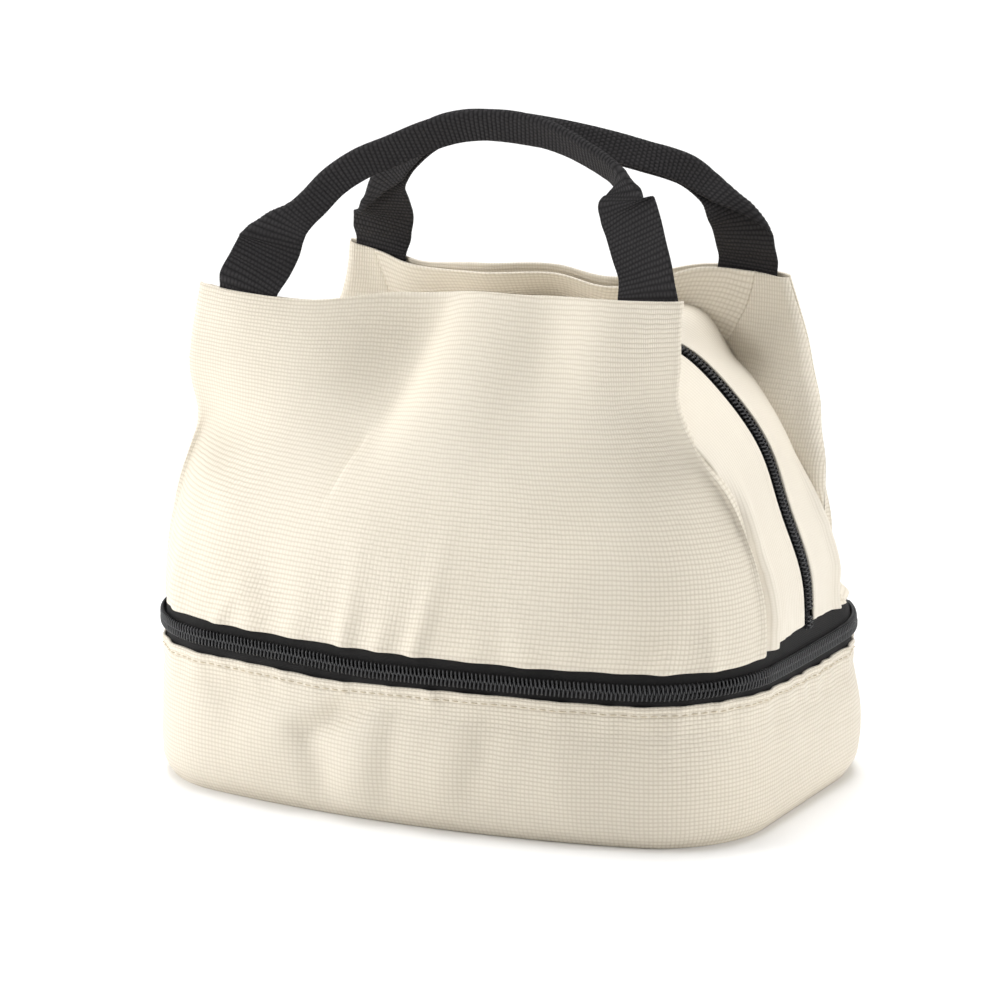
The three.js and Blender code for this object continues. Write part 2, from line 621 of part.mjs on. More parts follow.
function slider(chainHalf, proud, length) {
  const wide = chainHalf + FIT + SLIDER_WALL;
  const low = CHAIN_LOW + FIT;
  const under = proud + 2 * FIT;
  const top = under + SLIDER_PLATE;
  const inner = wide - SLIDER_WALL;
  const profile = new THREE.Shape([
    [-wide, low], [-inner, low], [-inner, under], [inner, under],
    [inner, low], [wide, low], [wide, top], [-wide, top],
  ].map(([x, y]) => new THREE.Vector2(x, y)));
  const channel = extrude(profile, -length / 2, length / 2).rotateX(Math.PI / 2).rotateZ(Math.PI / 2);
  const nose = new THREE.Shape();
  nose.moveTo(-length / 2, -wide * 0.72);
  nose.lineTo(length * 0.1, -wide);
  nose.absarc(length / 2 - wide, 0, wide, -Math.PI / 2, Math.PI / 2);
  nose.lineTo(length * 0.1, wide);
  nose.lineTo(-length / 2, wide * 0.72);
  const footprint = extrude(nose, -10, 10, 6);
  const bridge = new THREE.Shape();
  const rise = top + 2 * EYE_R + SLIDER_WALL / 2;
  bridge.moveTo(-2.4 * EYE_R, top - SLIDER_PLATE / 2);
  bridge.lineTo(2.4 * EYE_R, top - SLIDER_PLATE / 2);
  bridge.lineTo(1.4 * EYE_R, rise + 0.5);
  bridge.lineTo(-1.4 * EYE_R, rise + 0.5);
  bridge.holes.push(new THREE.Path().absarc(0, top + EYE_R, EYE_R, 0, Math.PI * 2));
  const lug = extrude(bridge, -BRIDGE_THICK / 2, BRIDGE_THICK / 2, 6).rotateX(Math.PI / 2);
  const body = asManifold(channel).intersect(asManifold(footprint)).add(asManifold(lug));
  return { geometry: asGeometry(body), eye: top + EYE_R };
}

// Pull tab whose end bar lies in the slider's eye; it points along +X.
function pull(length, eye) {
  const tab = new THREE.Shape();
  const back = -PULL_BAR / 2;
  tab.moveTo(back, -PULL_HALF * 0.8);
  tab.lineTo(length - PULL_HALF, -PULL_HALF);
  tab.absarc(length - PULL_HALF, 0, PULL_HALF, -Math.PI / 2, Math.PI / 2);
  tab.lineTo(back, PULL_HALF * 0.8);
  const far = PULL_BAR / 2 + 2.4 * EYE_R + 1.5;
  tab.holes.push(new THREE.Path([
    [PULL_BAR / 2, -WINDOW_HALF], [far, -WINDOW_HALF],
    [far, WINDOW_HALF], [PULL_BAR / 2, WINDOW_HALF],
  ].map(([x, y]) => new THREE.Vector2(x, y))));
  return extrude(tab, eye - PULL_THICK / 2, eye + PULL_THICK / 2, 6);
}

function placed(geometry, along, out, at) {
  const across = new THREE.Vector3().crossVectors(out, along);
  const frame = new THREE.Matrix4().makeBasis(along, across, out).setPosition(at);
  return geometry.applyMatrix4(frame);
}

const beltParts = slider(BELT_HALF, CHAIN_PROUD, 20);
const beltOut = new THREE.Vector3(-1, 0, 0);
const beltAlong = new THREE.Vector3(0, -1, 0);
const beltAt = new THREE.Vector3(-HALF_WIDTH, BELT_PARK_Y, CHAIN_Z);
add("belt_slider", placed(beltParts.geometry, beltAlong, beltOut, beltAt), METAL);
add("belt_pull", placed(pull(28, beltParts.eye), beltAlong, beltOut, beltAt), METAL);

const archParts = slider(ARCH_HALF, ARCH_PROUD, 15);
const archSpot = archPlan(-archRunAt(ARCH_PARK_Z));
const archOut = new THREE.Vector3(archSpot.nx, 0, archSpot.nz);
const archUp = new THREE.Vector3(archSpot.nz, 0, -archSpot.nx);
const archAt = new THREE.Vector3(archSpot.x, 0, archSpot.z);
add("arch_slider", placed(archParts.geometry, archUp, archOut, archAt), METAL);
add("arch_pull", placed(pull(18, archParts.eye).rotateZ(Math.PI), archUp, archOut, archAt), METAL);

export default group;
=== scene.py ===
"""Looks of a soft two-compartment cooler bag: ribbed cloth, coil zips and webbing handles."""
import logging
import math
from dataclasses import dataclass, field
from enum import Enum
from typing import Callable, Sequence

import bpy
import numpy as np
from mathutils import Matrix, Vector


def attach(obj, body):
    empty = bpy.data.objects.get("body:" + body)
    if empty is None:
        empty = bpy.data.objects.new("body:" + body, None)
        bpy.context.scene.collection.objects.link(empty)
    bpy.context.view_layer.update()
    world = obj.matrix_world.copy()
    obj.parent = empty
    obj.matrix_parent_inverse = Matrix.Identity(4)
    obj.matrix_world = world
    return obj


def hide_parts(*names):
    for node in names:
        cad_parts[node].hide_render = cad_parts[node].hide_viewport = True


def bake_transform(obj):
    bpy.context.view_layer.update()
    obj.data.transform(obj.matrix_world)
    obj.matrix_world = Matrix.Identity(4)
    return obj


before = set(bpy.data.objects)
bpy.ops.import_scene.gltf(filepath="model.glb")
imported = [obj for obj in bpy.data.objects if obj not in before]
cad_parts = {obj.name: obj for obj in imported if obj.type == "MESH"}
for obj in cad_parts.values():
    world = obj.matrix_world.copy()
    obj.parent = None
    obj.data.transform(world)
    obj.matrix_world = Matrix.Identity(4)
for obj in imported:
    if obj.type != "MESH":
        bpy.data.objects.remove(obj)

Array = np.ndarray
Surface = Callable[[Array, Array, Array], Array]
LOG = logging.getLogger("cooler_bag")
METRES = 0.001
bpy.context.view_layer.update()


class Side(Enum):
    """Half of the upper bag; the value turns front coordinates into its own."""

    FRONT = 1.0
    BACK = -1.0

    @property
    def word(self) -> str:
        """Name of the half as the frame spells it."""
        return self.name.lower()


def smooth(value: Array, low: float, high: float) -> Array:
    """Cubic step from 0 at low to 1 at high."""
    t = np.clip((np.asarray(value, float) - low) / (high - low), 0.0, 1.0)
    return t * t * (3.0 - 2.0 * t)


def bell(value: Array, middle: float, spread: float) -> Array:
    """Gaussian bump of height 1."""
    return np.exp(-(((value - middle) / spread) ** 2))


def squared(wave: Array, power: float) -> Array:
    """Wave with flatter crests: sign(wave) * |wave|^power."""
    return np.sign(wave) * np.abs(wave) ** power


def unit(vectors: Array) -> Array:
    """Vectors scaled to length 1."""
    return vectors / np.maximum(np.linalg.norm(vectors, axis=-1, keepdims=True), 1e-9)


def stacked(x: Array, y: Array, z: Array) -> Array:
    """Three coordinate arrays as one array of points."""
    return np.stack(np.broadcast_arrays(x, y, z), axis=-1)


def spline(at: Array, knots: Sequence[float], values: Array) -> Array:
    """Catmull-Rom curve through values at knots.

    Args:
        at: places to read, any shape.
        knots: rising knot places.
        values: one row per knot, each a number or an array shaped as at.

    Returns:
        The curve's values, shaped as at.
    """
    at = np.asarray(at, float)
    k = np.asarray(knots, float)
    rows = np.asarray(values, float)
    rows = np.broadcast_to(rows.reshape(rows.shape + (1,) * (at.ndim + 1 - rows.ndim)), (len(k),) + at.shape)
    i = np.clip(np.searchsorted(k, at, side="right") - 1, 0, len(k) - 2)
    t = np.clip((at - k[i]) / (k[i + 1] - k[i]), 0.0, 1.0)
    slope = np.gradient(rows, k, axis=0)
    step = k[i + 1] - k[i]
    a, b = (np.take_along_axis(rows, j[None], axis=0)[0] for j in (i, i + 1))
    ma, mb = (np.take_along_axis(slope, j[None], axis=0)[0] * step for j in (i, i + 1))
    t2, t3 = t * t, t * t * t
    return a * (2 * t3 - 3 * t2 + 1) + ma * (t3 - 2 * t2 + t) + b * (3 * t2 - 2 * t3) + mb * (t3 - t2)


def graded(low: float, high: float, step: float, rim: float) -> Array:
    """Stops from low to high at about step, drawn together within rim of both ends."""
    count = max(2, int(round((high - low - 2 * rim) / step)) + 1)
    ends = rim * np.array([0.0, 0.08, 0.3, 0.62])
    return np.concatenate([low + ends, np.linspace(low + rim, high - rim, count), high - ends[::-1]])


@dataclass
class Skin:
    """Points in millimetres, four-cornered faces, and cloth coordinates per corner in millimetres."""

    points: Array
    faces: Array
    cloth: Array

    def outward(self) -> "Skin":
        """The same closed body with its faces turned to point out."""
        a, b, c, d = (self.points[self.faces[:, k]] for k in range(4))
        volume = (a * (np.cross(b, c) + np.cross(c, d))).sum()
        if volume >= 0:
            return self
        return Skin(self.points, self.faces[:, ::-1], self.cloth[:, ::-1])

    def turned(self) -> "Skin":
        """The same body with its grain turned a quarter."""
        return Skin(self.points, self.faces, self.cloth[..., ::-1])

    def laid(self) -> "Skin":
        """The same body with its cloth coordinates read from x, which is gathered to two thirds, and z."""
        return Skin(self.points, self.faces, self.points[self.faces][..., (0, 2)] * np.array([1.5, 1.0]))

    def plus(self, other: "Skin") -> "Skin":
        """This body and another as one mesh."""
        return Skin(
            np.concatenate([self.points, other.points]),
            np.concatenate([self.faces, other.faces + len(self.points)]),
            np.concatenate([self.cloth, other.cloth]),
        )

    def piece(self, name: str, material: bpy.types.Material) -> bpy.types.Object:
        """Makes the Blender object, in metres, with a UV map named cloth.

        Args:
            name: object name.
            material: finish of the whole piece.

        Returns:
            The new object, at the origin, with its place in its mesh.
        """
        mesh = bpy.data.meshes.new(name)
        mesh.from_pydata((self.points * METRES).tolist(), [], self.faces.tolist())
        layer = mesh.uv_layers.new(name="cloth")
        layer.data.foreach_set("uv", self.cloth.astype(np.float32).ravel())
        mesh.shade_smooth()
        mesh.materials.append(material)
        mesh.update()
        piece = bpy.data.objects.new(name, mesh)
        bpy.context.scene.collection.objects.link(piece)
        return piece


def cells(index: Array, ring: bool) -> Array:
    """Faces between neighbouring columns and rows of an index grid; a ring closes the columns."""
    here = index if ring else index[:-1]
    after = np.roll(index, -1, axis=0) if ring else index[1:]
    return np.stack([here[:, :-1], after[:, :-1], after[:, 1:], here[:, 1:]], axis=-1).reshape(-1, 4)


def cell_cloth(across: Array, along: Array, lap: float) -> Array:
    """Cloth coordinates of the faces that cells() makes; lap is the ring's length, or 0."""
    after = np.append(across[1:], across[0] + lap) if lap else across[1:]
    here = across if lap else across[:-1]
    shape = (len(here), len(along) - 1)
    a0, a1 = (np.broadcast_to(v[:, None], shape) for v in (here, after))
    b0, b1 = (np.broadcast_to(v[None, :], shape) for v in (along[:-1], along[1:]))
    corners = [np.stack(pair, axis=-1) for pair in ((a0, b0), (a1, b0), (a1, b1), (a0, b1))]
    return np.stack(corners, axis=2).reshape(-1, 4, 2)


def shell(surface: Surface, across: Array, along: Array, thick: float, rim: float, lap: float = 0.0) -> Skin:
    """Closed cloth shell over a surface(across, along, off).

    At distance d from an edge the two skins lie thick/2 * sqrt(1 - (1 - d/rim)^2) off the middle of
    the cloth, so that they meet in a round rim.

    Args:
        surface: point for two parameters in millimetres and a distance along the normal.
        across: stops of the first parameter.
        along: stops of the second parameter.
        thick: cloth thickness.
        rim: width of the rounded rim.
        lap: length of the closed ring of columns, or 0 for an open sheet.

    Returns:
        The closed body.
    """
    gap_v = np.minimum(along - along[0], along[-1] - along)
    gap_u = np.full(len(across), np.inf) if lap else np.minimum(across - across[0], across[-1] - across)
    gap = np.minimum(gap_u[:, None], gap_v[None, :])
    swell = np.sqrt(1.0 - (1.0 - np.clip(gap / rim, 0.0, 1.0)) ** 2)
    u, v = np.meshgrid(across, along, indexing="ij")
    outer = surface(u, v, thick / 2 * (swell - 1.0))
    inner = surface(u, v, -thick / 2 * (swell + 1.0))
    free = gap > 0
    first = np.arange(gap.size).reshape(gap.shape)
    second = np.where(free, gap.size + np.cumsum(free).reshape(gap.shape) - 1, first)
    ring = lap > 0
    cloth = cell_cloth(across, along, lap)
    return Skin(
        np.concatenate([outer.reshape(-1, 3), inner[free]]),
        np.concatenate([cells(first, ring), cells(second, ring)[:, ::-1]]),
        np.concatenate([cloth, cloth[:, ::-1]]),
    ).outward()


def tube(rings: Array, cloth_along: Array, cloth_across: Array) -> Skin:
    """Closed tube through rings of points, capped at both ends.

    Args:
        rings: points shaped (stations, corners, 3).
        cloth_along: cloth length at each station.
        cloth_across: cloth width at each corner.

    Returns:
        The closed body; each cap is a fan of strips across its ring.
    """
    stations, corners, _ = rings.shape
    index = np.arange(stations * corners).reshape(stations, corners)
    closed = np.concatenate([index, index[:, :1]], axis=1)
    walls = cells(closed, False)
    wall_cloth = cell_cloth(cloth_along, np.append(cloth_across, cloth_across[0]), 0.0)
    half = corners // 2
    k = np.arange(half - 1)
    cap = np.stack([k, k + 1, corners - 2 - k, corners - 1 - k], axis=-1)
    caps = np.concatenate([cap, index[-1, 0] + cap[:, ::-1]])
    cap_along = np.where(caps < corners, cloth_along[0], cloth_along[-1])
    cap_cloth = np.stack([cap_along, cloth_across[caps % corners]], axis=-1)
    return Skin(
        rings.reshape(-1, 3), np.concatenate([walls, caps]), np.concatenate([wall_cloth, cap_cloth])
    ).outward()


@dataclass(frozen=True)
class Fold:
    """Ridge or valley in cloth, along a line from start to end, with a bell section that may lean."""

    start: tuple[float, float]
    end: tuple[float, float]
    width: float
    height: float
    steep: float = 1.0

    def lift(self, x: Array, z: Array) -> Array:
        """Height * exp(-(d/w)^2) at distance d from the line; w is width, or width / steep to the right."""
        (ax, az), (bx, bz) = self.start, self.end
        dx, dz = bx - ax, bz - az
        t = np.clip(((x - ax) * dx + (z - az) * dz) / (dx * dx + dz * dz), 0.0, 1.0)
        taper = 0.25 + 0.75 * np.sin(np.pi * np.clip(0.12 + 0.76 * t, 0.0, 1.0))
        away = (x - ax - t * dx) ** 2 + (z - az - t * dz) ** 2
        wide = np.where((x - ax) * dz < (z - az) * dx, self.width / self.steep, self.width)
        return self.height * taper * np.exp(-away / wide**2)


@dataclass(frozen=True)
class Gather:
    """Puckers that a tight seam draws into cloth, fading away from the seam."""

    seam: float
    reach: float
    height: float
    pitch: float
    span: tuple[float, float]
    seed: int

    def lift(self, run: Array, z: Array) -> Array:
        """Sum of bells along the run; each leans a little and fades over its own reach."""
        rng = np.random.default_rng(self.seed)
        count = int((self.span[1] - self.span[0]) / self.pitch)
        far = np.abs(z - self.seam)
        total = np.zeros(np.broadcast(run, z).shape)
        for place in np.linspace(*self.span, count, endpoint=False):
            shift, wide, tall, lean, size = rng.uniform(0, 1, 5)
            middle = place + self.pitch * (0.2 + 0.6 * shift) + (lean - 0.5) * 0.8 * far
            reach = self.reach * (0.5 + tall)
            bump = bell(run, middle, self.pitch * (0.16 + 0.2 * wide) * (1 + far / (3 * reach)))
            total += self.height * (0.35 + 0.65 * size) * bump * np.exp(-((far / reach) ** 1.5))
        return total - 0.4 * self.height * np.exp(-((far / self.reach) ** 1.5))


@dataclass(frozen=True)
class Nudge:
    """Soft push that moves every piece alike where the bag has slumped."""

    place: tuple[float, float, float]
    spread: tuple[float, float, float]
    move: tuple[float, float, float]

    def push(self, points: Array) -> Array:
        """Move * exp(-sum(((p - place) / spread)^2))."""
        away = (points - np.array(self.place)) / np.array(self.spread)
        return np.exp(-(away**2).sum(axis=-1, keepdims=True)) * np.array(self.move)


SLUMP = (
    Nudge((128.0, -4.0, 120.0), (45.0, 46.0, 23.0), (-5.2, 0.0, 0.0)),
    Nudge((76.0, 0.0, 181.0), (24.0, 30.0, 26.0), (0.0, 0.0, 5.2)),
    Nudge((0.0, 0.0, 188.0), (46.0, 34.0, 30.0), (0.0, 0.0, -6.0)),
    Nudge((127.0, 54.0, 78.0), (17.0, 26.0, 9.5), (-5.0, -2.0, 0.0)),
)


@dataclass(frozen=True)
class Layers:
    """Plies of the wall: the thickness of each, and how far it lies off the outer cloth."""

    cloth: float = 1.4
    tape: float = 0.8
    foam: float = 4.0
    upper_foam: float = 3.5
    lining: float = 0.8
    tape_out: float = -1.5
    foam_out: float = -2.6
    liner_out: float = -6.9
    upper_liner_out: float = -6.4
    tail_out: float = -1.8
    facing_out: float = -4.0


PLY = Layers()


@dataclass
class BagPlan:
    """Outline of the bag seen from above: bowed front and back, round corners, straight sides."""

    half_width: float = 130.0
    half_depth: float = 95.0
    corner: float = 49.0
    bow: float = 430.0

    def __post_init__(self) -> None:
        """Works out where the arcs meet."""
        self.corner_x = self.half_width - self.corner
        self.bow_y = self.bow - self.half_depth
        self.side_y = math.sqrt((self.bow - self.corner) ** 2 - self.corner_x**2) - self.bow_y
        self.bow_turn = math.asin(self.corner_x / (self.bow - self.corner))
        self.bow_run = self.bow * self.bow_turn
        self.panel_run = self.bow_run + self.corner * (math.pi / 2 - self.bow_turn)
        self.quarter = self.panel_run + self.side_y

    def wrapped(self, run: Array) -> Array:
        """Run brought to within half the outline of the front middle."""
        q = self.quarter
        return np.mod(np.asarray(run, float) + 2 * q, 4 * q) - 2 * q

    def at(self, run: Array) -> tuple[Array, Array, Array, Array]:
        """Place and normal by run to the right of the front middle: bow arc, corner arc, then a line."""
        q, wrapped = self.quarter, self.wrapped(run)
        side = np.where(wrapped < 0, -1.0, 1.0)
        s = np.abs(wrapped)
        far = s > q
        s = np.where(far, 2 * q - s, s)
        turn = np.where(far, -1.0, 1.0)
        on_bow = s < self.bow_run
        angle = np.where(on_bow, s / self.bow, self.bow_turn + (s - self.bow_run) / self.corner)
        angle = np.minimum(angle, math.pi / 2)
        nx, ny = np.sin(angle), -np.cos(angle)
        x = np.where(on_bow, self.bow * nx, self.corner_x + self.corner * nx)
        y = np.where(on_bow, self.bow_y + self.bow * ny, -self.side_y + self.corner * ny)
        y = np.where(s > self.panel_run, s - q, y)
        return side * x, turn * y, side * nx, turn * ny

    def run_at(self, reach: Array) -> Array:
        """Run on the front outline where |x| is reach."""
        reach = np.clip(reach, 0.0, self.half_width)
        on_bow = np.arcsin(np.clip(reach / self.bow, 0, 1)) * self.bow
        turned = np.arcsin(np.clip((reach - self.corner_x) / self.corner, -1, 1)) - self.bow_turn
        on_corner = self.bow_run + self.corner * turned
        return np.where(reach < self.bow * math.sin(self.bow_turn), on_bow, on_corner)

    def wall(self, run: Array, z: Array, off: Array) -> Array:
        """Point of an upright wall on the outline, moved off along the normal."""
        x, y, nx, ny = self.at(run)
        return stacked(x + off * nx, y + off * ny, z)

    def plate(self, inset: float, top: float, thick: float, step: float, rim: float) -> Skin:
        """Flat closed plate of the outline grown by inset: (x(run), v*y(run)), v from -1 to 1."""
        runs = graded(-self.panel_run, self.panel_run, step, rim)

        def level(run: Array, v: Array, off: Array) -> Array:
            x, y, nx, ny = self.at(run)
            return stacked(x + inset * nx, -(y + inset * ny) * v / self.half_depth, top + off)

        return shell(level, runs, graded(-self.half_depth, self.half_depth, step, rim), thick, rim)


@dataclass
class Dome:
    """Crowned arch between the two panels, which carries the arch zip along its ridge."""

    plan: BagPlan
    shoulder: float = 98.0
    shoulder_z: float = 86.0
    turn: float = math.radians(17)
    crown: float = 4.0
    foot: float = 71.0
    crown_top: float = 105.0
    park_top: float = 108.0
    stop_top: float = 78.0

    def __post_init__(self) -> None:
        """Works out the radii and runs of the arch."""
        self.shoulder_x = self.plan.half_width - self.shoulder
        self.top_r = self.shoulder + self.shoulder_x / math.sin(self.turn)
        self.top_z = self.shoulder_z - self.shoulder_x / math.tan(self.turn)
        self.top_run = self.top_r * self.turn
        self.shoulder_run = self.shoulder * (math.pi / 2 - self.turn)
        self.end = self.top_run + self.shoulder_run + self.shoulder_z - self.foot

    def at(self, run: Array) -> tuple[Array, Array, Array, Array]:
        """Place and normal in the XZ plane by run from the top middle: two arcs, then a line down."""
        run = np.asarray(run, float)
        side = np.where(run < 0, -1.0, 1.0)
        s = np.abs(run)
        on_top = s < self.top_run
        angle = np.where(on_top, s / self.top_r, self.turn + (s - self.top_run) / self.shoulder)
        angle = np.minimum(angle, math.pi / 2)
        nx, nz = np.sin(angle), np.cos(angle)
        x = np.where(on_top, self.top_r * nx, self.shoulder_x + self.shoulder * nx)
        z = np.where(on_top, self.top_z + self.top_r * nz, self.shoulder_z + self.shoulder * nz)
        below = s - self.top_run - self.shoulder_run
        z = np.where(below > 0, self.shoulder_z - below, z)
        return side * x, z, side * nx, nz

    def drop(self, z: Array) -> Array:
        """How far the seams lie below the ridge."""
        return self.crown * smooth(z, self.foot, self.crown_top)

    def point(self, run: Array, y: Array, off: Array) -> Array:
        """Point at a distance y from the ridge, lowered by drop * (y/side)^2."""
        x, z, nx, nz = self.at(run)
        lift = off - self.drop(z) * (y / self.plan.side_y) ** 2
        return stacked(x + lift * nx, y, z + lift * nz)

    def run_at(self, z: float) -> float:
        """Run at a height on the right flank."""
        if z < self.shoulder_z:
            return self.top_run + self.shoulder_run + self.shoulder_z - z
        return self.top_run + self.shoulder * (math.acos((z - self.shoulder_z) / self.shoulder) - self.turn)

    def half_width(self, z: Array) -> Array:
        """Half width of the dome at its seams."""
        radius = self.shoulder - self.drop(z)
        rise = np.maximum(0.0, z - self.shoulder_z)
        return self.shoulder_x + np.sqrt(np.maximum(0.0, radius**2 - rise**2))

    def height(self, x: Array) -> Array:
        """Height of the ridge over a place."""
        reach = np.abs(x)
        on_top = self.top_z + np.sqrt(np.maximum(0, self.top_r**2 - reach**2))
        flank = self.shoulder_z + np.sqrt(np.maximum(0, self.shoulder**2 - (reach - self.shoulder_x) ** 2))
        return np.where(reach < self.top_r * math.sin(self.turn), on_top, flank)


@dataclass(frozen=True)
class Sway:
    """How far one panel hangs from its even form: a table of moves by share across and height."""

    shares: tuple[float, ...]
    heights: tuple[float, ...]
    move_x: tuple[tuple[float, ...], ...]
    move_y: tuple[tuple[float, ...], ...]
    move_z: tuple[tuple[float, ...], ...]

    def move(self, u: Array, z: Array) -> Array:
        """Smooth moves at (u, z): a spline across each row, then a spline up the rows."""
        tables = (self.move_x, self.move_y, self.move_z)
        across = [np.stack([spline(u, self.shares, np.array(row)) for row in table]) for table in tables]
        return stacked(*(spline(z, self.heights, rows) for rows in across))


SHARES = (-1.0, -0.8, -0.6, -0.3, 0.0, 0.3, 0.6, 0.8, 1.0)
STILL = (0.0,) * len(SHARES)
FRONT_SWAY = Sway(
    SHARES,
    (71.0, 80.0, 92.0, 112.0, 136.0, 152.0, 165.0, 180.0, 205.0),
    (
        (0.5, 1.5, 0.5, 0, 0, 0, 0, 0, -0.8),
        (-2, -1, 0, 0, 0, 0, 0, 0, -1),
        (-3.5, -2.8, 0, 0, 0, 0, 0, 0, -0.8),
        (-4.4, -3.6, -0.5, 0, 0, 0, 0, 0, 0),
        (-7, -4.5, -1, 0, 0, 0, 0, 0, -1),
        (-10.5, -6.5, -2, 0, 0, 0, 0, -3.5, -8.5),
        (-12, -8, -2.5, 0, 0, 0, -1, -6.5, -12),
        (-11.5, -8, -2.5, 0, 0, 0, -1, -4.5, -8.7),
        (-7, -5, -1.5, 0, 0, 0, 0, -2.5, -5.5),
    ),
    (
        (0, 1.5, 0, 0, 0, 0, 0, -1, -8),
        (0, 1, 0, 0, 0, 0, 0, 0, -4),
        (0, 0.5, 0, 0, 0, 0, 0, 0, -1),
        STILL,
        (-1, -1.5, -1, 0, 0, 0, 0, 0, 0),
        (-4, -5, -3, 0, 0, 0, 0, 0, 0),
        (-5, -6.5, -4, 1, 1, 0, -1, 0, 0),
        (-4, -6, -5, 1, 2, 0, -3, -1, 1),
        (-4, -6, -5, 1, 1, 0, -3, 0, 2),
    ),
    (
        STILL,
        STILL,
        STILL,
        STILL,
        STILL,
        (-1, -1, -1, 0, 0, 0, 0, 0, 0),
        (-2, -2, -2, -0.5, 1, 1, 1, 1, 1),
        (-4, -4, -4, -1, 2, 2, 2.5, 2, 2),
        (-6, -7, -7.6, -2, 3, 3.5, 4.6, 4.5, 4),
    ),
)
BACK_SWAY = Sway(
    SHARES,
    (71.0, 80.0, 92.0, 112.0, 136.0, 152.0, 166.0, 180.0, 205.0),
    (
        (0, 1, 0, 0, 0, 0, 0, -0.5, -0.5),
        (0, 1, 0, 0, 0, 0, 0, -2.5, -2.5),
        (0, 1, 0, 0, 0, 0, 0, -4, -3.5),
        (0, 0, 0, 0, 0, 0, 0, 0.5, 2.2),
        (1, 0, 0, 0, 0, 0, 0, 5.5, 11.5),
        (3, 2, 0, 0, 0, 0, 0, 7, 12.6),
        (4, 3, 0, 0, 0, 0, 0, 5, 9),
        (4.8, 3.5, 1, 0, 0, 0, 0, 2, 5),
        (5.5, 4, 1, 0, 0, 0, 0, -2, -2.5),
    ),
    (
        STILL,
        (0, 0.5, 0, 0, 0, 0, 0.5, 1, 0),
        (0, 0, 0, 0, 0, 0, 0.5, 2, 0.5),
        (0, 0, 0, 0, 0, 0, 1, 5, 3.5),
        (0, 0, 0, 0, 0, 0, 4, 14, 7),
        (-1, 0, 0, 0, 0, 0, 4, 12, 6),
        (-2, -1, 0, 0, 0, 0, 0, 3, 4),
        (-3, -2, 0, 1, 0, 0, -1, -1, 1),
        (-3.7, -2, 0, 2, 0, 1, -2, 0, 1.3),
    ),
    (
        STILL,
        STILL,
        STILL,
        STILL,
        STILL,
        (0, -1, -1, 0, 0, 0, 0, 0, 0),
        (-1, -2, -3, -1, 0, -1, 0, 0, -1),
        (-4, -4.5, -6, -2, -1, -3, 0, 0, -2),
        (-7.5, -8.5, -10, -5, -2, -5, 0, -1, -4),
    ),
)


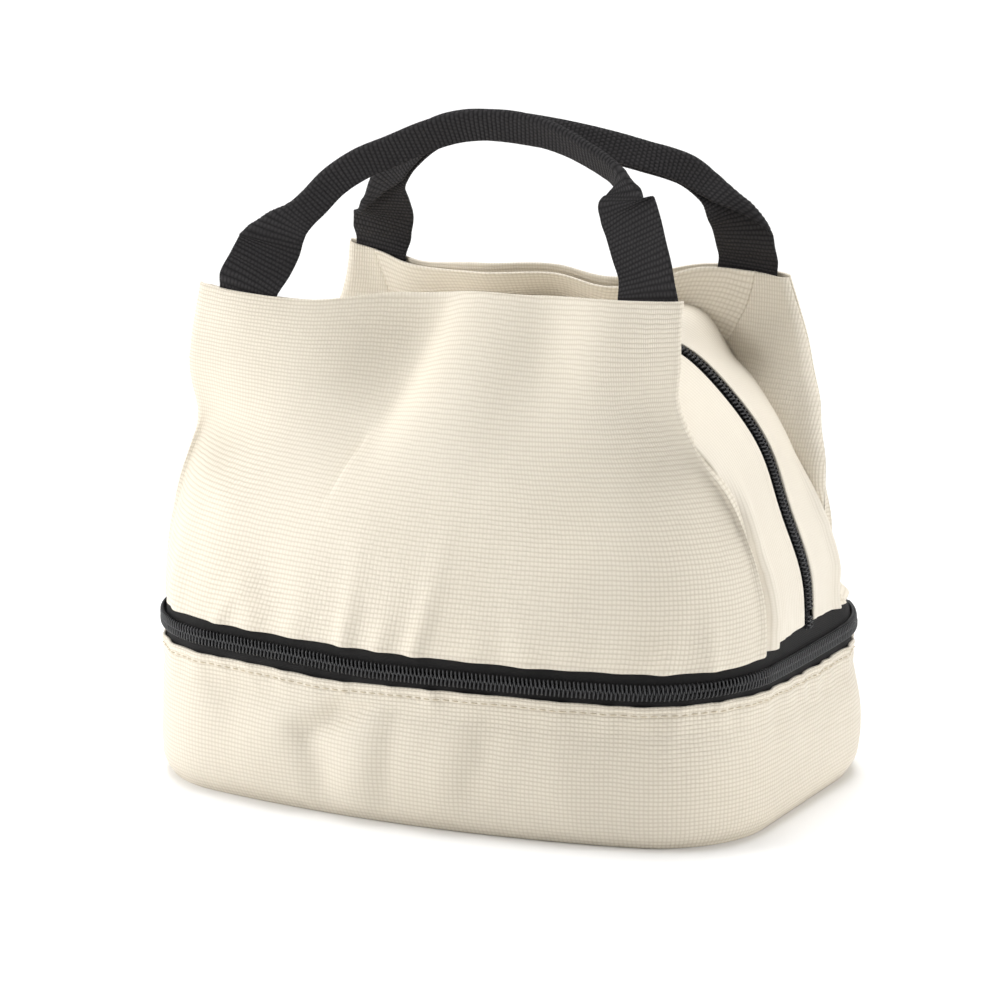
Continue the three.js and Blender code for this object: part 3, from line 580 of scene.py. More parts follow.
@dataclass
class PanelForm:
    """Form of one upper panel: the outline, narrowed with height to the dome seam and then to the ears."""

    plan: BagPlan
    dome: Dome
    side: Side
    sway: Sway
    folds: tuple[Fold, ...]
    foot: float = 71.0
    head: float = 201.0
    ear_rise: float = 4.0
    head_depth: float = 42.0
    ear_half: float = 106.0
    ear_taper: float = 4.0
    ear_foot: float = 145.0
    ear_spread: float = 14.0
    spread_start: float = 115.0
    ease: float = 5.0
    even: float = 0.85
    even_from: float = 100.0
    even_to: float = 165.0
    sewn_to: float = 108.0
    free_from: float = 132.0
    overlap: float = 2.0

    def half_width(self, z: Array) -> Array:
        """Half width: soft maximum of dome d and ear e, (d + e + sqrt((d - e)^2 + ease^2)) / 2."""
        ear = self.ear_half - self.ear_taper * smooth(z, self.ear_foot, self.head)
        dome = self.dome.half_width(z)
        return (dome + ear + np.sqrt((dome - ear) ** 2 + self.ease**2)) / 2

    def top(self, u: Array) -> Array:
        """Height of the top edge before it sags."""
        return self.head + self.ear_rise * u * u

    def skin(self, u: Array, z: Array) -> Array:
        """Front coordinates: x = spread * W(z); depth = edge + (middle - edge) * share^(1+2t); plus sway."""
        _, y, _, _ = self.plan.at(u * self.plan.panel_run)
        span = self.plan.half_depth - self.plan.side_y
        share = np.clip((-y - self.plan.side_y) / span, 0.0, 1.0)
        t = np.clip((z - self.foot) / (self.head - self.foot), 0.0, 1.0)
        edge = self.plan.side_y + self.ear_spread * smooth(z, self.spread_start, self.head + self.ear_rise)
        middle = self.plan.half_depth + (self.head_depth - self.plan.half_depth) * t
        depth = edge + (middle - edge) * share ** (1.0 + 2.0 * t)
        return stacked(self.spread(u, z) * self.half_width(z), -depth, z) + self.sway.move(u, z)

    def spread(self, u: Array, z: Array) -> Array:
        """Share of the half width: the outline's own at the foot, easing to the plain share u at the head."""
        even = self.even * smooth(z, self.even_from, self.even_to)
        return (1.0 - even) * self.plan.at(u * self.plan.panel_run)[0] / self.plan.half_width + even * u

    def soft(self, u: Array, x: Array, z: Array) -> Array:
        """Lift of all folds, calmed at the side edges."""
        calm = smooth((1.0 - np.abs(u)) * self.plan.panel_run, 0.0, 8.0)
        return calm * sum(fold.lift(x, z) for fold in self.folds)

    def point(self, u: Array, z: Array, off: Array) -> Array:
        """Skin with its folds, moved off along its normal, turned to this half's side."""
        step = 0.004
        across = self.skin(u + step, z) - self.skin(u - step, z)
        rise = self.skin(u, z + 100 * step) - self.skin(u, z - 100 * step)
        here = self.skin(u, z)
        lift = np.asarray(off) + self.soft(u, here[..., 0], z)
        return (here + lift[..., None] * unit(np.cross(across, rise))) * np.array([1.0, self.side.value, 1.0])

    def share_at(self, x: Array, z: Array) -> Array:
        """Signed share across the panel at a place: Newton steps on spread(u) = x / W(z)."""
        aim = x / self.half_width(z)
        start = np.sign(x) * self.plan.run_at(np.abs(aim) * self.plan.half_width) / self.plan.panel_run
        even = smooth(z, self.even_from, self.even_to)
        u = (1.0 - even) * start + even * np.clip(aim, -1.0, 1.0)
        for _ in range(4):
            slope = (self.spread(u + 0.01, z) - self.spread(u - 0.01, z)) / 0.02
            u = np.clip(u + (aim - self.spread(u, z)) / np.maximum(slope, 0.2), -1.0, 1.0)
        return u

    def share_near(self, x: Array, z: Array) -> Array:
        """Share across the panel whose swayed place is x."""
        u = self.share_at(x, z)
        for _ in range(3):
            u = self.share_at(x - self.sway.move(u, z)[..., 0], z)
        return u

    def seat(self, x: Array, z: Array) -> tuple[Array, Array]:
        """Share and unswayed height of the panel point that lies at x and z."""
        level = z
        for _ in range(3):
            u = np.clip(self.share_near(x, level), -1.0, 1.0)
            level = z - self.sway.move(u, level)[..., 2]
        return u, level

    def under(self, u: Array, clear: float) -> Array:
        """Height where the panel passes under the dome: fixed point of z = dome.height(x(u, z)) - clear."""
        z = np.full_like(u, 150.0)
        for _ in range(14):
            z = (z + self.dome.height(self.skin(u, z)[..., 0]) - clear) / 2
        return np.clip(z, self.foot + 12.0, self.head - 8.0)

    def seam(self, run: Array) -> Array:
        """Distance from ridge to panel along the dome: past its edge below, to its inner face above."""
        x, z, nx, nz = self.dome.at(run)
        drop = self.dome.drop(z)
        x, z = x - drop * nx, z - drop * nz
        u = self.share_near(x, z)
        here = self.skin(u, z)
        inside = smooth((1.0 - np.abs(u)) * self.plan.panel_run, 3.0, 14.0)
        depth = self.soft(u, here[..., 0], z) * inside - here[..., 1]
        hidden = np.maximum(inside, smooth(z, self.sewn_to, self.free_from))
        return depth - PLY.cloth * hidden + self.overlap * (1.0 - hidden)


class Graph:
    """Small helper that adds nodes to a tree and joins them."""

    def __init__(self, tree: bpy.types.NodeTree) -> None:
        """Keeps the tree."""
        self.tree = tree

    def node(self, kind: str, inputs: dict | None = None, **settings: object) -> bpy.types.Node:
        """Adds a node.

        Args:
            kind: node type.
            inputs: values or sockets by input name or index.
            settings: node properties.

        Returns:
            The new node.
        """
        made = self.tree.nodes.new(kind)
        for name, value in settings.items():
            setattr(made, name, value)
        for name, value in (inputs or {}).items():
            self.feed(made.inputs[name], value)
        return made

    def feed(self, socket: bpy.types.NodeSocket, value: object) -> None:
        """Links a socket to the input, or sets its value."""
        if isinstance(value, bpy.types.NodeSocket):
            self.tree.links.new(value, socket)
        else:
            socket.default_value = value

    def math(self, operation: str, a: object, b: object = 0.0, c: object = 0.0) -> bpy.types.NodeSocket:
        """Result of a Math node."""
        return self.node("ShaderNodeMath", {0: a, 1: b, 2: c}, operation=operation).outputs[0]

    def mix(self, factor: object, a: object, b: object) -> bpy.types.NodeSocket:
        """Colour between a and b."""
        made = self.node("ShaderNodeMix", data_type="RGBA")
        for socket, value in ((made.inputs[0], factor), (made.inputs[6], a), (made.inputs[7], b)):
            self.feed(socket, value)
        return made.outputs[2]


def new_group(
    name: str, inputs: Sequence[tuple[str, str, float]], outputs: Sequence[str]
) -> tuple[Graph, dict, dict]:
    """Makes a shader node group with named sockets.

    Args:
        name: group name.
        inputs: name, kind (Vector or Float) and default of each input.
        outputs: names of the float outputs.

    Returns:
        Its graph, its input sockets by name, and its output sockets by name.
    """
    tree = bpy.data.node_groups.new(name, "ShaderNodeTree")
    for label, kind, value in inputs:
        socket = tree.interface.new_socket(label, in_out="INPUT", socket_type=f"NodeSocket{kind}")
        if kind == "Float":
            socket.default_value = value
    for label in outputs:
        tree.interface.new_socket(label, in_out="OUTPUT", socket_type="NodeSocketFloat")
    graph = Graph(tree)
    source = graph.node("NodeGroupInput")
    sink = graph.node("NodeGroupOutput")
    return graph, {s.name: s for s in source.outputs if s.name}, {s.name: s for s in sink.inputs if s.name}


def weave_group() -> bpy.types.NodeTree:
    """Woven relief on cloth coordinates.

    Ribs are |sin(pi*v/rib)|^sharp and warp lines |sin(pi*(u/thread + brick*row))|^sharp; their product is
    the height, and both wander a little with noise.
    """
    graph, come, go = new_group(
        "woven_relief",
        [
            ("Cloth", "Vector", 0), ("Rib", "Float", 2.0), ("Thread", "Float", 1.0), ("Warp", "Float", 0.3),
            ("Sharp", "Float", 0.6), ("Brick", "Float", 0.0),
        ],
        ["Height", "Groove"],
    )

    def ridges(phase: bpy.types.NodeSocket) -> bpy.types.NodeSocket:
        wave = graph.math("ABSOLUTE", graph.math("SINE", graph.math("MULTIPLY", phase, math.pi)))
        return graph.math("POWER", wave, come["Sharp"])

    wander = graph.node("ShaderNodeTexNoise", {"Vector": come["Cloth"], "Scale": 0.11, "Detail": 2.0})
    shift = graph.math("MULTIPLY_ADD", wander.outputs["Fac"], 0.7, -0.35)
    parts = graph.node("ShaderNodeSeparateXYZ", {0: come["Cloth"]})
    v = graph.math("DIVIDE", graph.math("ADD", parts.outputs["Y"], shift), come["Rib"])
    u = graph.math("DIVIDE", graph.math("ADD", parts.outputs["X"], shift), come["Thread"])
    u = graph.math("MULTIPLY_ADD", graph.math("FLOOR", v), come["Brick"], u)
    slack = graph.math("MULTIPLY", graph.math("SUBTRACT", 1.0, ridges(u)), come["Warp"])
    height = graph.math("MULTIPLY", ridges(v), graph.math("SUBTRACT", 1.0, slack))
    graph.feed(go["Height"], height)
    graph.feed(go["Groove"], graph.math("SUBTRACT", 1.0, height))
    return graph.tree


def drift_group() -> bpy.types.NodeTree:
    """Slow change of tone over a piece, and fine lint, from noise on Object coordinates."""
    graph, come, go = new_group(
        "tone_drift", [("Scale", "Float", 9.0), ("Lint", "Float", 900.0)], ["Tone", "Lint"]
    )
    place = graph.node("ShaderNodeTexCoord").outputs["Object"]
    slow = graph.node("ShaderNodeTexNoise", {"Vector": place, "Scale": come["Scale"], "Detail": 3.0})
    fine = graph.node("ShaderNodeTexNoise", {"Vector": place, "Scale": come["Lint"], "Detail": 1.0})
    graph.feed(go["Tone"], slow.outputs["Fac"])
    graph.feed(go["Lint"], fine.outputs["Fac"])
    return graph.tree


GROUPS = {tree.name: tree for tree in (weave_group(), drift_group())}


@dataclass(frozen=True)
class Finish:
    """Woven or plain finish: colours are linear, relief is in millimetres; the weave's grooves get painted
    shade.
    """

    name: str
    slot: str
    colour: tuple[float, float, float]
    # Colour of the painted shade in the weave's grooves, and also the dark end of the random tone drift.
    shade: tuple[float, float, float]
    roughness: float
    rib: float = 1.78
    thread: float = 1.61
    warp: float = 0.6
    sharp: float = 0.6
    brick: float = 0.0
    relief: float = 0.12
    # Strength of the painted shade in the weave's grooves.
    groove: float = 0.5
    lint: float = 0.02
    lint_scale: float = 900.0
    drift: float = 9.0
    metallic: float = 0.0
    specular: float = 0.4
    sheen: float = 0.0
    tone_swing: float = 0.5
    groove_rough: float = 0.12

    def material(self) -> bpy.types.Material:
        """Node material: painted shade darkens the colour toward the shade colour in the weave's grooves, and
        the tone drifts slowly at random; bump follows the weave and lint.
        """
        made = bpy.data.materials.new(self.name)
        made.use_nodes = True
        made.node_tree.nodes.clear()
        graph = Graph(made.node_tree)
        cloth = graph.node("ShaderNodeUVMap", uv_map="cloth").outputs[0]
        weave = graph.node("ShaderNodeGroup", node_tree=GROUPS["woven_relief"])
        drift = graph.node("ShaderNodeGroup", node_tree=GROUPS["tone_drift"])
        for node, label, value in (
            (weave, "Cloth", cloth), (weave, "Rib", self.rib), (weave, "Thread", self.thread),
            (weave, "Warp", self.warp), (weave, "Sharp", self.sharp), (weave, "Brick", self.brick),
            (drift, "Scale", self.drift), (drift, "Lint", self.lint_scale),
        ):
            graph.feed(node.inputs[label], value)
        # Painted shade: the weave's grooves darken the colour toward the shade colour; the random tone drift
        # is added to the same mix.
        painted_groove_shade = graph.math("MULTIPLY", weave.outputs["Groove"], self.groove)
        tone = graph.math("MULTIPLY", graph.math("SUBTRACT", drift.outputs["Tone"], 0.5), self.tone_swing)
        factor = graph.node("ShaderNodeClamp", {0: graph.math("ADD", painted_groove_shade, tone)}).outputs[0]
        colour = graph.mix(factor, (*self.colour, 1.0), (*self.shade, 1.0))
        rough = graph.math("MULTIPLY_ADD", weave.outputs["Groove"], self.groove_rough, self.roughness)
        weave_bump = graph.node(
            "ShaderNodeBump",
            {"Strength": 1.0, "Distance": self.relief * METRES, "Height": weave.outputs["Height"]},
        )
        lint_bump = graph.node(
            "ShaderNodeBump",
            {
                "Strength": 1.0,
                "Distance": self.lint * METRES,
                "Height": drift.outputs["Lint"],
                "Normal": weave_bump.outputs[0],
            },
        )
        surface = graph.node(
            "ShaderNodeBsdfPrincipled",
            {
                "Base Color": colour,
                "Roughness": rough,
                "Metallic": self.metallic,
                "Specular IOR Level": self.specular,
                "Sheen Weight": self.sheen,
                "Normal": lint_bump.outputs[0],
            },
        )
        sink = graph.node("ShaderNodeOutputMaterial")
        graph.tree.links.new(surface.outputs[0], sink.inputs[0])
        return made


@dataclass(frozen=True)
class Palette:
    """Every finish of the bag; the second colour of each is the painted shade in its weave's grooves, where
    its groove strength is above 0, and the dark end of its tone drift.
    """

    cream: Finish = Finish(
        "cream_ribbed_cloth", "cream_cloth", (0.83, 0.765, 0.65), (0.53, 0.455, 0.335), 0.46,
        rib=1.7, thread=1.72, warp=0.7, relief=0.26, groove=0.62, sheen=0.08,
    )
    gusset: Finish = Finish(
        "cream_gusset_cloth", "gusset_cloth", (0.81, 0.75, 0.645), (0.60, 0.53, 0.41), 0.5,
        rib=1.3, thread=1.0, warp=0.4, relief=0.1, groove=0.45, sheen=0.08,
    )
    thread: Finish = Finish(
        "cream_thread", "cream_cloth", (0.70, 0.62, 0.48), (0.60, 0.52, 0.39), 0.7, relief=0.02,
    )
    webbing: Finish = Finish(
        "charcoal_webbing", "webbing", (0.020, 0.0175, 0.019), (0.002, 0.0015, 0.002), 0.75,
        rib=1.8, thread=1.5, warp=0.6, sharp=1.0, brick=0.5, relief=0.45, groove=1.0, lint=0.05,
    )
    tape: Finish = Finish(
        "black_zip_tape", "zip_tape", (0.013, 0.012, 0.012), (0.004, 0.004, 0.004), 0.85,
        rib=0.7, thread=0.55, warp=0.5, relief=0.08, groove=0.7, lint=0.03,
    )
    coil: Finish = Finish(
        "black_coil_nylon", "zip_coil", (0.030, 0.030, 0.032), (0.016, 0.016, 0.018), 0.36,
        rib=3.0, thread=3.0, relief=0.0, groove=0.2, lint=0.01, specular=0.5,
    )
    lining: Finish = Finish(
        "silver_lining", "lining", (0.62, 0.64, 0.66), (0.42, 0.44, 0.46), 0.34,
        rib=6.0, thread=6.0, warp=0.6, relief=0.1, groove=0.3, lint=0.25, lint_scale=120.0, metallic=0.55,
    )
    foam: Finish = Finish(
        "pale_foam", "foam", (0.84, 0.85, 0.86), (0.66, 0.67, 0.69), 0.9,
        rib=1.0, thread=1.0, relief=0.05, groove=0.3, lint=0.2, lint_scale=1500.0,
    )
    board: Finish = Finish(
        "grey_fibre_board", "board", (0.09, 0.085, 0.08), (0.05, 0.047, 0.045), 0.8,
        rib=2.0, thread=2.0, relief=0.0, groove=0.0, lint=0.06, lint_scale=700.0, drift=20.0,
    )
    binding: Finish = Finish(
        "black_binding", "binding", (0.016, 0.015, 0.016), (0.004, 0.004, 0.004), 0.8,
        rib=1.1, thread=0.8, warp=0.5, relief=0.12, groove=0.8, lint=0.03,
    )
    metal: Finish = Finish(
        "black_enamelled_metal", "slider_metal", (0.035, 0.035, 0.038), (0.02, 0.02, 0.022), 0.32,
        rib=3.0, thread=3.0, relief=0.0, groove=0.0, lint=0.02, lint_scale=400.0, metallic=0.7,
    )


class Wardrobe:
    """Materials by finish, and the call that makes each new piece and hides the frame nodes that it replaces.
    """

    def __init__(self) -> None:
        """Makes every material once."""
        self.palette = Palette()
        self.made: dict[str, bpy.types.Material] = {}

    def material(self, finish: Finish) -> bpy.types.Material:
        """The finish's material."""
        if finish.name not in self.made:
            self.made[finish.name] = finish.material()
        return self.made[finish.name]

    def dress(self, name: str, skin: Skin, finish: Finish, replaced: Sequence[str]) -> bpy.types.Object:
        """Makes a piece and hides the frame nodes that it stands for.

        Args:
            name: piece name.
            skin: its mesh.
            finish: its finish.
            replaced: frame nodes that it stands for.

        Returns:
            The piece, not yet on a body.
        """
        settled = skin.points + sum(nudge.push(skin.points) for nudge in SLUMP)
        piece = Skin(settled, skin.faces, skin.cloth).piece(name, self.material(finish))
        if replaced:
            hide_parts(*replaced)
        LOG.info("%s: %d faces, for %s", name, len(skin.faces), ", ".join(replaced) or "trim")
        return piece


@dataclass
class ZipCoil:
    """Row of nylon coil: a flattened helix, its heads past the middle line of the zip."""

    pitch: float = 1.72
    reach: float = 2.95
    hook: float = 0.5
    low: float = -0.9
    high: float = 0.75
    wire: float = 0.4
    swing_square: float = 0.7
    lift_square: float = 0.8
    wound: float = 3.2
    turns_steps: int = 12
    sides: int = 6

    def row(self, surface: Surface, start: float, end: float, side: float) -> Skin:
        """One row along a zip.

        The wire's centre is run = start + pitch*t, across = side*(mid + half*cos(2*pi*t)) with squared
        ends, off = level + rise*sin(2*pi*t).

        Args:
            surface: point for run, across and off.
            start: first run.
            end: last run.
            side: which side of the middle line the row is sewn to, 1 or -1.

        Returns:
            The closed wire.
        """
        turns = max(1, int((end - start) / self.pitch))
        t = np.linspace(0.0, turns, turns * self.turns_steps + 1)
        phase = 2 * np.pi * t
        swing = squared(np.cos(phase), self.swing_square)
        lift = squared(np.sin(phase), self.lift_square)
        middle, half = (self.reach - self.hook) / 2, (self.reach + self.hook) / 2
        run = start + self.pitch * t
        across = side * (middle + half * swing)
        off = (self.high + self.low) / 2 + (self.high - self.low) / 2 * lift
        centre = surface(run, across, off)
        out = unit(surface(run, across, off + 0.5) - centre)
        ahead = unit(np.gradient(centre, axis=0))
        first = unit(np.cross(ahead, out))
        second = np.cross(first, ahead)
        turn = np.linspace(0.0, 2 * np.pi, self.sides, endpoint=False)[None, :, None]
        rings = centre[:, None] + self.wire * (np.cos(turn) * first[:, None] + np.sin(turn) * second[:, None])
        length = self.pitch * self.wound * t
        return tube(rings, length, np.linspace(0.0, 3.0, self.sides, endpoint=False))

    def chain(self, surface: Surface, start: float, end: float) -> Skin:
        """Closed chain: both rows, the second half a pitch ahead."""
        first = self.row(surface, start, end, -1.0)
        return first.plus(self.row(surface, start + 0.5 * self.pitch, end, 1.0))


@dataclass
class Topstitch:
    """Line of lockstitch: short thread arcs that dip into the cloth at both ends."""

    pitch: float = 4.0
    length: float = 2.9
    thread: float = 0.28
    arch: float = 1.9
    steps: int = 5
    sides: int = 6

    def line(self, surface: Surface, start: float, end: float, z: float) -> Skin:
        """Stitches at one height along a run; off = thread * (arch*sin(pi*t) - 1)."""
        count = int((end - start) / self.pitch)
        t = np.linspace(0.0, 1.0, self.steps)
        firsts = start + self.pitch * np.arange(count)
        run = firsts[:, None] + self.length * t[None, :]
        off = np.broadcast_to(self.thread * (self.arch * np.sin(np.pi * t) - 1.0)[None, :], run.shape)
        centre = surface(run, np.full_like(run, z), off)
        out = unit(surface(run, np.full_like(run, z), off + 0.5) - centre)
        up = np.broadcast_to(np.array([0.0, 0.0, 1.0]), out.shape)
        slim = (self.thread * (0.35 + 0.65 * np.sin(np.pi * t)))[None, :, None, None]
        turn = np.linspace(0.0, 2 * np.pi, self.sides, endpoint=False)[None, None, :, None]
        rings = centre[:, :, None] + slim * (np.cos(turn) * up[:, :, None] + np.sin(turn) * out[:, :, None])
        index = np.arange(run.size * self.sides).reshape(count, self.steps, self.sides)
        closed = np.concatenate([index, index[:, :, :1]], axis=2)
        walls = np.stack(
            [closed[:, :-1, :-1], closed[:, 1:, :-1], closed[:, 1:, 1:], closed[:, :-1, 1:]], axis=-1
        ).reshape(-1, 4)
        ring = index[:, [0, -1]]
        caps = np.concatenate(
            [ring[:, 0][:, [0, 1, 4, 5]], ring[:, 0][:, [1, 2, 3, 4]],
             ring[:, 1][:, [5, 4, 1, 0]], ring[:, 1][:, [4, 3, 2, 1]]]
        )
        faces = np.concatenate([walls, caps])
        cloth = np.zeros((len(faces), 4, 2))
        return Skin(rings.reshape(-1, 3), faces, cloth).outward()


@dataclass
class LowerTub:
    """Lower compartment: padded wall and floor, lining, rim binding and topstitch; its half of the wide zip
    is made by WideZip.
    """

    plan: BagPlan
    wardrobe: Wardrobe
    body: str = "lower_tub"
    top: float = 57.0
    bulge: float = 3.0
    bulge_top: float = 46.0
    foot_inset: float = 3.4
    foot_round: float = 9.0
    stitch_drop: float = 3.6
    sag_from: float = 28.0
    flats: tuple[tuple[float, float, float], ...] = ((-158.0, 48.0, 0.8), (160.0, 50.0, 0.35))
    binding_middle: tuple[float, float] = (-5.15, 55.7)
    binding_half: tuple[float, float] = (2.7, 0.95)
    binding_square: float = 0.7
    sag_runs: tuple[float, ...] = (
        -392.0, -200.0, -140.0, -50.0, -30.0, -10.0, 20.0, 90.0, 145.0, 178.0, 225.0, 392.0,
    )
    sags: tuple[float, ...] = (0.0, 0.0, -0.6, -1.2, -1.8, -1.2, -0.2, 0.0, 0.6, -1.3, -2.3, 0.0)
    folds: tuple[Fold, ...] = (
        Fold((-14.0, 53.0), (-43.0, 33.0), 5.5, -4.2),
        Fold((-42.0, 34.0), (-34.0, 8.0), 8.0, -2.6),
        Fold((-36.0, 50.0), (-66.0, 26.0), 12.0, 2.6),
        Fold((-14.0, 40.0), (-22.0, 10.0), 9.0, 2.0),
        Fold((-4.0, 48.0), (-8.0, 8.0), 6.0, -1.4),
        Fold((-84.0, 53.0), (-78.0, 30.0), 7.0, -1.6),
        Fold((22.0, 40.0), (14.0, 8.0), 8.0, 1.4),
        Fold((38.0, 52.0), (30.0, 20.0), 7.0, -1.6),
        Fold((62.0, 40.0), (70.0, 8.0), 9.0, 1.4),
        Fold((90.0, 52.0), (82.0, 18.0), 8.0, -1.2),
        Fold((168.0, 52.0), (150.0, 20.0), 8.0, -0.8),
        Fold((-150.0, 52.0), (-128.0, 18.0), 9.0, -0.8),
        Fold((250.0, 50.0), (262.0, 20.0), 8.0, -0.9),
        Fold((-262.0, 50.0), (-240.0, 16.0), 9.0, -0.9),
        Fold((330.0, 46.0), (318.0, 14.0), 7.0, -0.8),
        Fold((-352.0, 48.0), (-366.0, 18.0), 7.0, -0.8),
    )

    def __post_init__(self) -> None:
        """Sets the puckers under the zip."""
        q = self.plan.quarter
        self.gather = Gather(self.top, 13.0, 1.5, 15.0, (-2 * q, 2 * q), 11)

    def off(self, run: Array, z: Array) -> Array:
        """Bulge * sin(pi*z/bulge_top), foot turned in by foot_inset * (1-z/foot_round)^2, puckers, folds."""
        low = np.clip(z, 0, self.bulge_top)
        belly = np.where(z < self.bulge_top, np.sin(np.pi * low / self.bulge_top), 0.0)
        foot = np.maximum(0.0, 1.0 - z / self.foot_round) ** 2
        wrapped = self.plan.wrapped(run)
        fill = 1.0
        for place, spread, share in self.flats:
            fill = fill - share * bell(wrapped, place, spread)
        calm = smooth(z, 1.0, 9.0)
        soft = sum(fold.lift(wrapped, z) for fold in self.folds) + self.gather.lift(wrapped, z)
        soft = np.maximum(soft, -0.7 - 0.3 * np.maximum(0.0, 50.0 - z))
        stitch = -0.35 * bell(z, self.top - self.stitch_drop, 1.1) + 0.25 * bell(z, self.top - 1.4, 1.2)
        return self.bulge * (belly * fill) - self.foot_inset * foot + calm * soft + stitch

    def wall(self, run: Array, z: Array, off: Array) -> Array:
        """Point on the outer cloth, moved off; the rim sags by run."""
        sag = spline(self.plan.wrapped(run), self.sag_runs, np.array(self.sags))
        return self.plan.wall(run, z + sag * smooth(z, self.sag_from, self.top), off + self.off(run, z))

    def ring(self, step: float) -> Array:
        """Runs of a closed ring of columns."""
        q = self.plan.quarter
        return np.linspace(-2 * q, 2 * q, int(4 * q / step), endpoint=False)

    def build(self) -> None:
        """Makes and seats every piece of the tub."""
        kit, lap = self.wardrobe, 4 * self.plan.quarter
        palette = kit.palette
        wall = shell(self.wall, self.ring(1.4), graded(0.2, self.top, 1.0, 0.7), PLY.cloth, 0.7, lap)
        cloth = kit.dress("tub_wall", wall, palette.cream, ["lower_wall"])
        base = self.plan.plate(-3.0, 1.4, 1.4, 5.0, 0.7)
        floor = kit.dress("base_cloth", base, palette.cream, ["base_panel"])
        pad = kit.dress(
            "tub_floor_pad", self.plan.plate(-3.7, 7.8, PLY.foam, 7.0, 1.8), palette.foam, ["base_foam"]
        )

        def padding(run: Array, z: Array, off: Array) -> Array:
            return self.wall(run, z, off + PLY.foam_out - 0.5)

        wall_pad = shell(padding, self.ring(4.0), graded(8.3, 54.4, 4.0, 1.8), PLY.foam, 1.8, lap)
        kit.dress("tub_wall_pad", wall_pad, palette.foam, ["lower_wall_foam"])
        crinkle = Gather(55.0, 26.0, 0.7, 19.0, (-lap / 2, lap / 2), 5)

        def lined(run: Array, z: Array, off: Array) -> Array:
            dent = np.minimum(0.0, self.off(run, z))
            crease = 0.8 * np.abs(crinkle.lift(run, z))
            return self.plan.wall(run, z, off + PLY.liner_out - 0.4 + dent - crease)

        lining = shell(lined, self.ring(2.2), graded(8.3, 54.6, 2.2, 0.4), PLY.lining, 0.4, lap)
        lining = lining.plus(self.plan.plate(PLY.liner_out - 1.6, 9.0, PLY.lining, 5.0, 0.4))
        lined_piece = kit.dress("tub_lining", lining, palette.lining, ["lower_liner"])
        rings = self.binding()
        kit.dress("tub_rim_binding", rings, palette.binding, ["lower_rim_binding"])
        for name in (
            "tub_wall", "base_cloth", "tub_floor_pad", "tub_wall_pad", "tub_lining", "tub_rim_binding",
        ):
            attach(bpy.data.objects[name], self.body)

        def raised(run: Array, z: Array, off: Array) -> Array:
            return self.wall(run, z, off + 0.25)

        half = 2 * self.plan.quarter
        stitches = Topstitch().line(raised, -half, half, self.top - self.stitch_drop)
        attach(kit.dress("tub_topstitch", stitches, palette.thread, []), self.body)

    def binding(self) -> Skin:
        """Rounded tape folded over the inner rim: an oval section carried round the outline."""
        runs, corners = self.ring(3.0), 16
        turn = np.linspace(0.0, 2 * np.pi, corners, endpoint=False)
        (mid_off, mid_z), (half_off, half_z) = self.binding_middle, self.binding_half
        off = mid_off + half_off * squared(np.cos(turn), self.binding_square)
        rise = mid_z + half_z * squared(np.sin(turn), self.binding_square)
        points = self.plan.wall(runs[:, None], rise[None, :], off[None, :])
        index = np.arange(points.shape[0] * corners).reshape(-1, corners)
        closed = np.concatenate([index, index[:, :1]], axis=1)
        width = np.append(turn, 2 * np.pi) * 2.5
        cloth = cell_cloth(runs, width, 4 * self.plan.quarter)
        return Skin(points.reshape(-1, 3), cells(closed, True), cloth).outward()


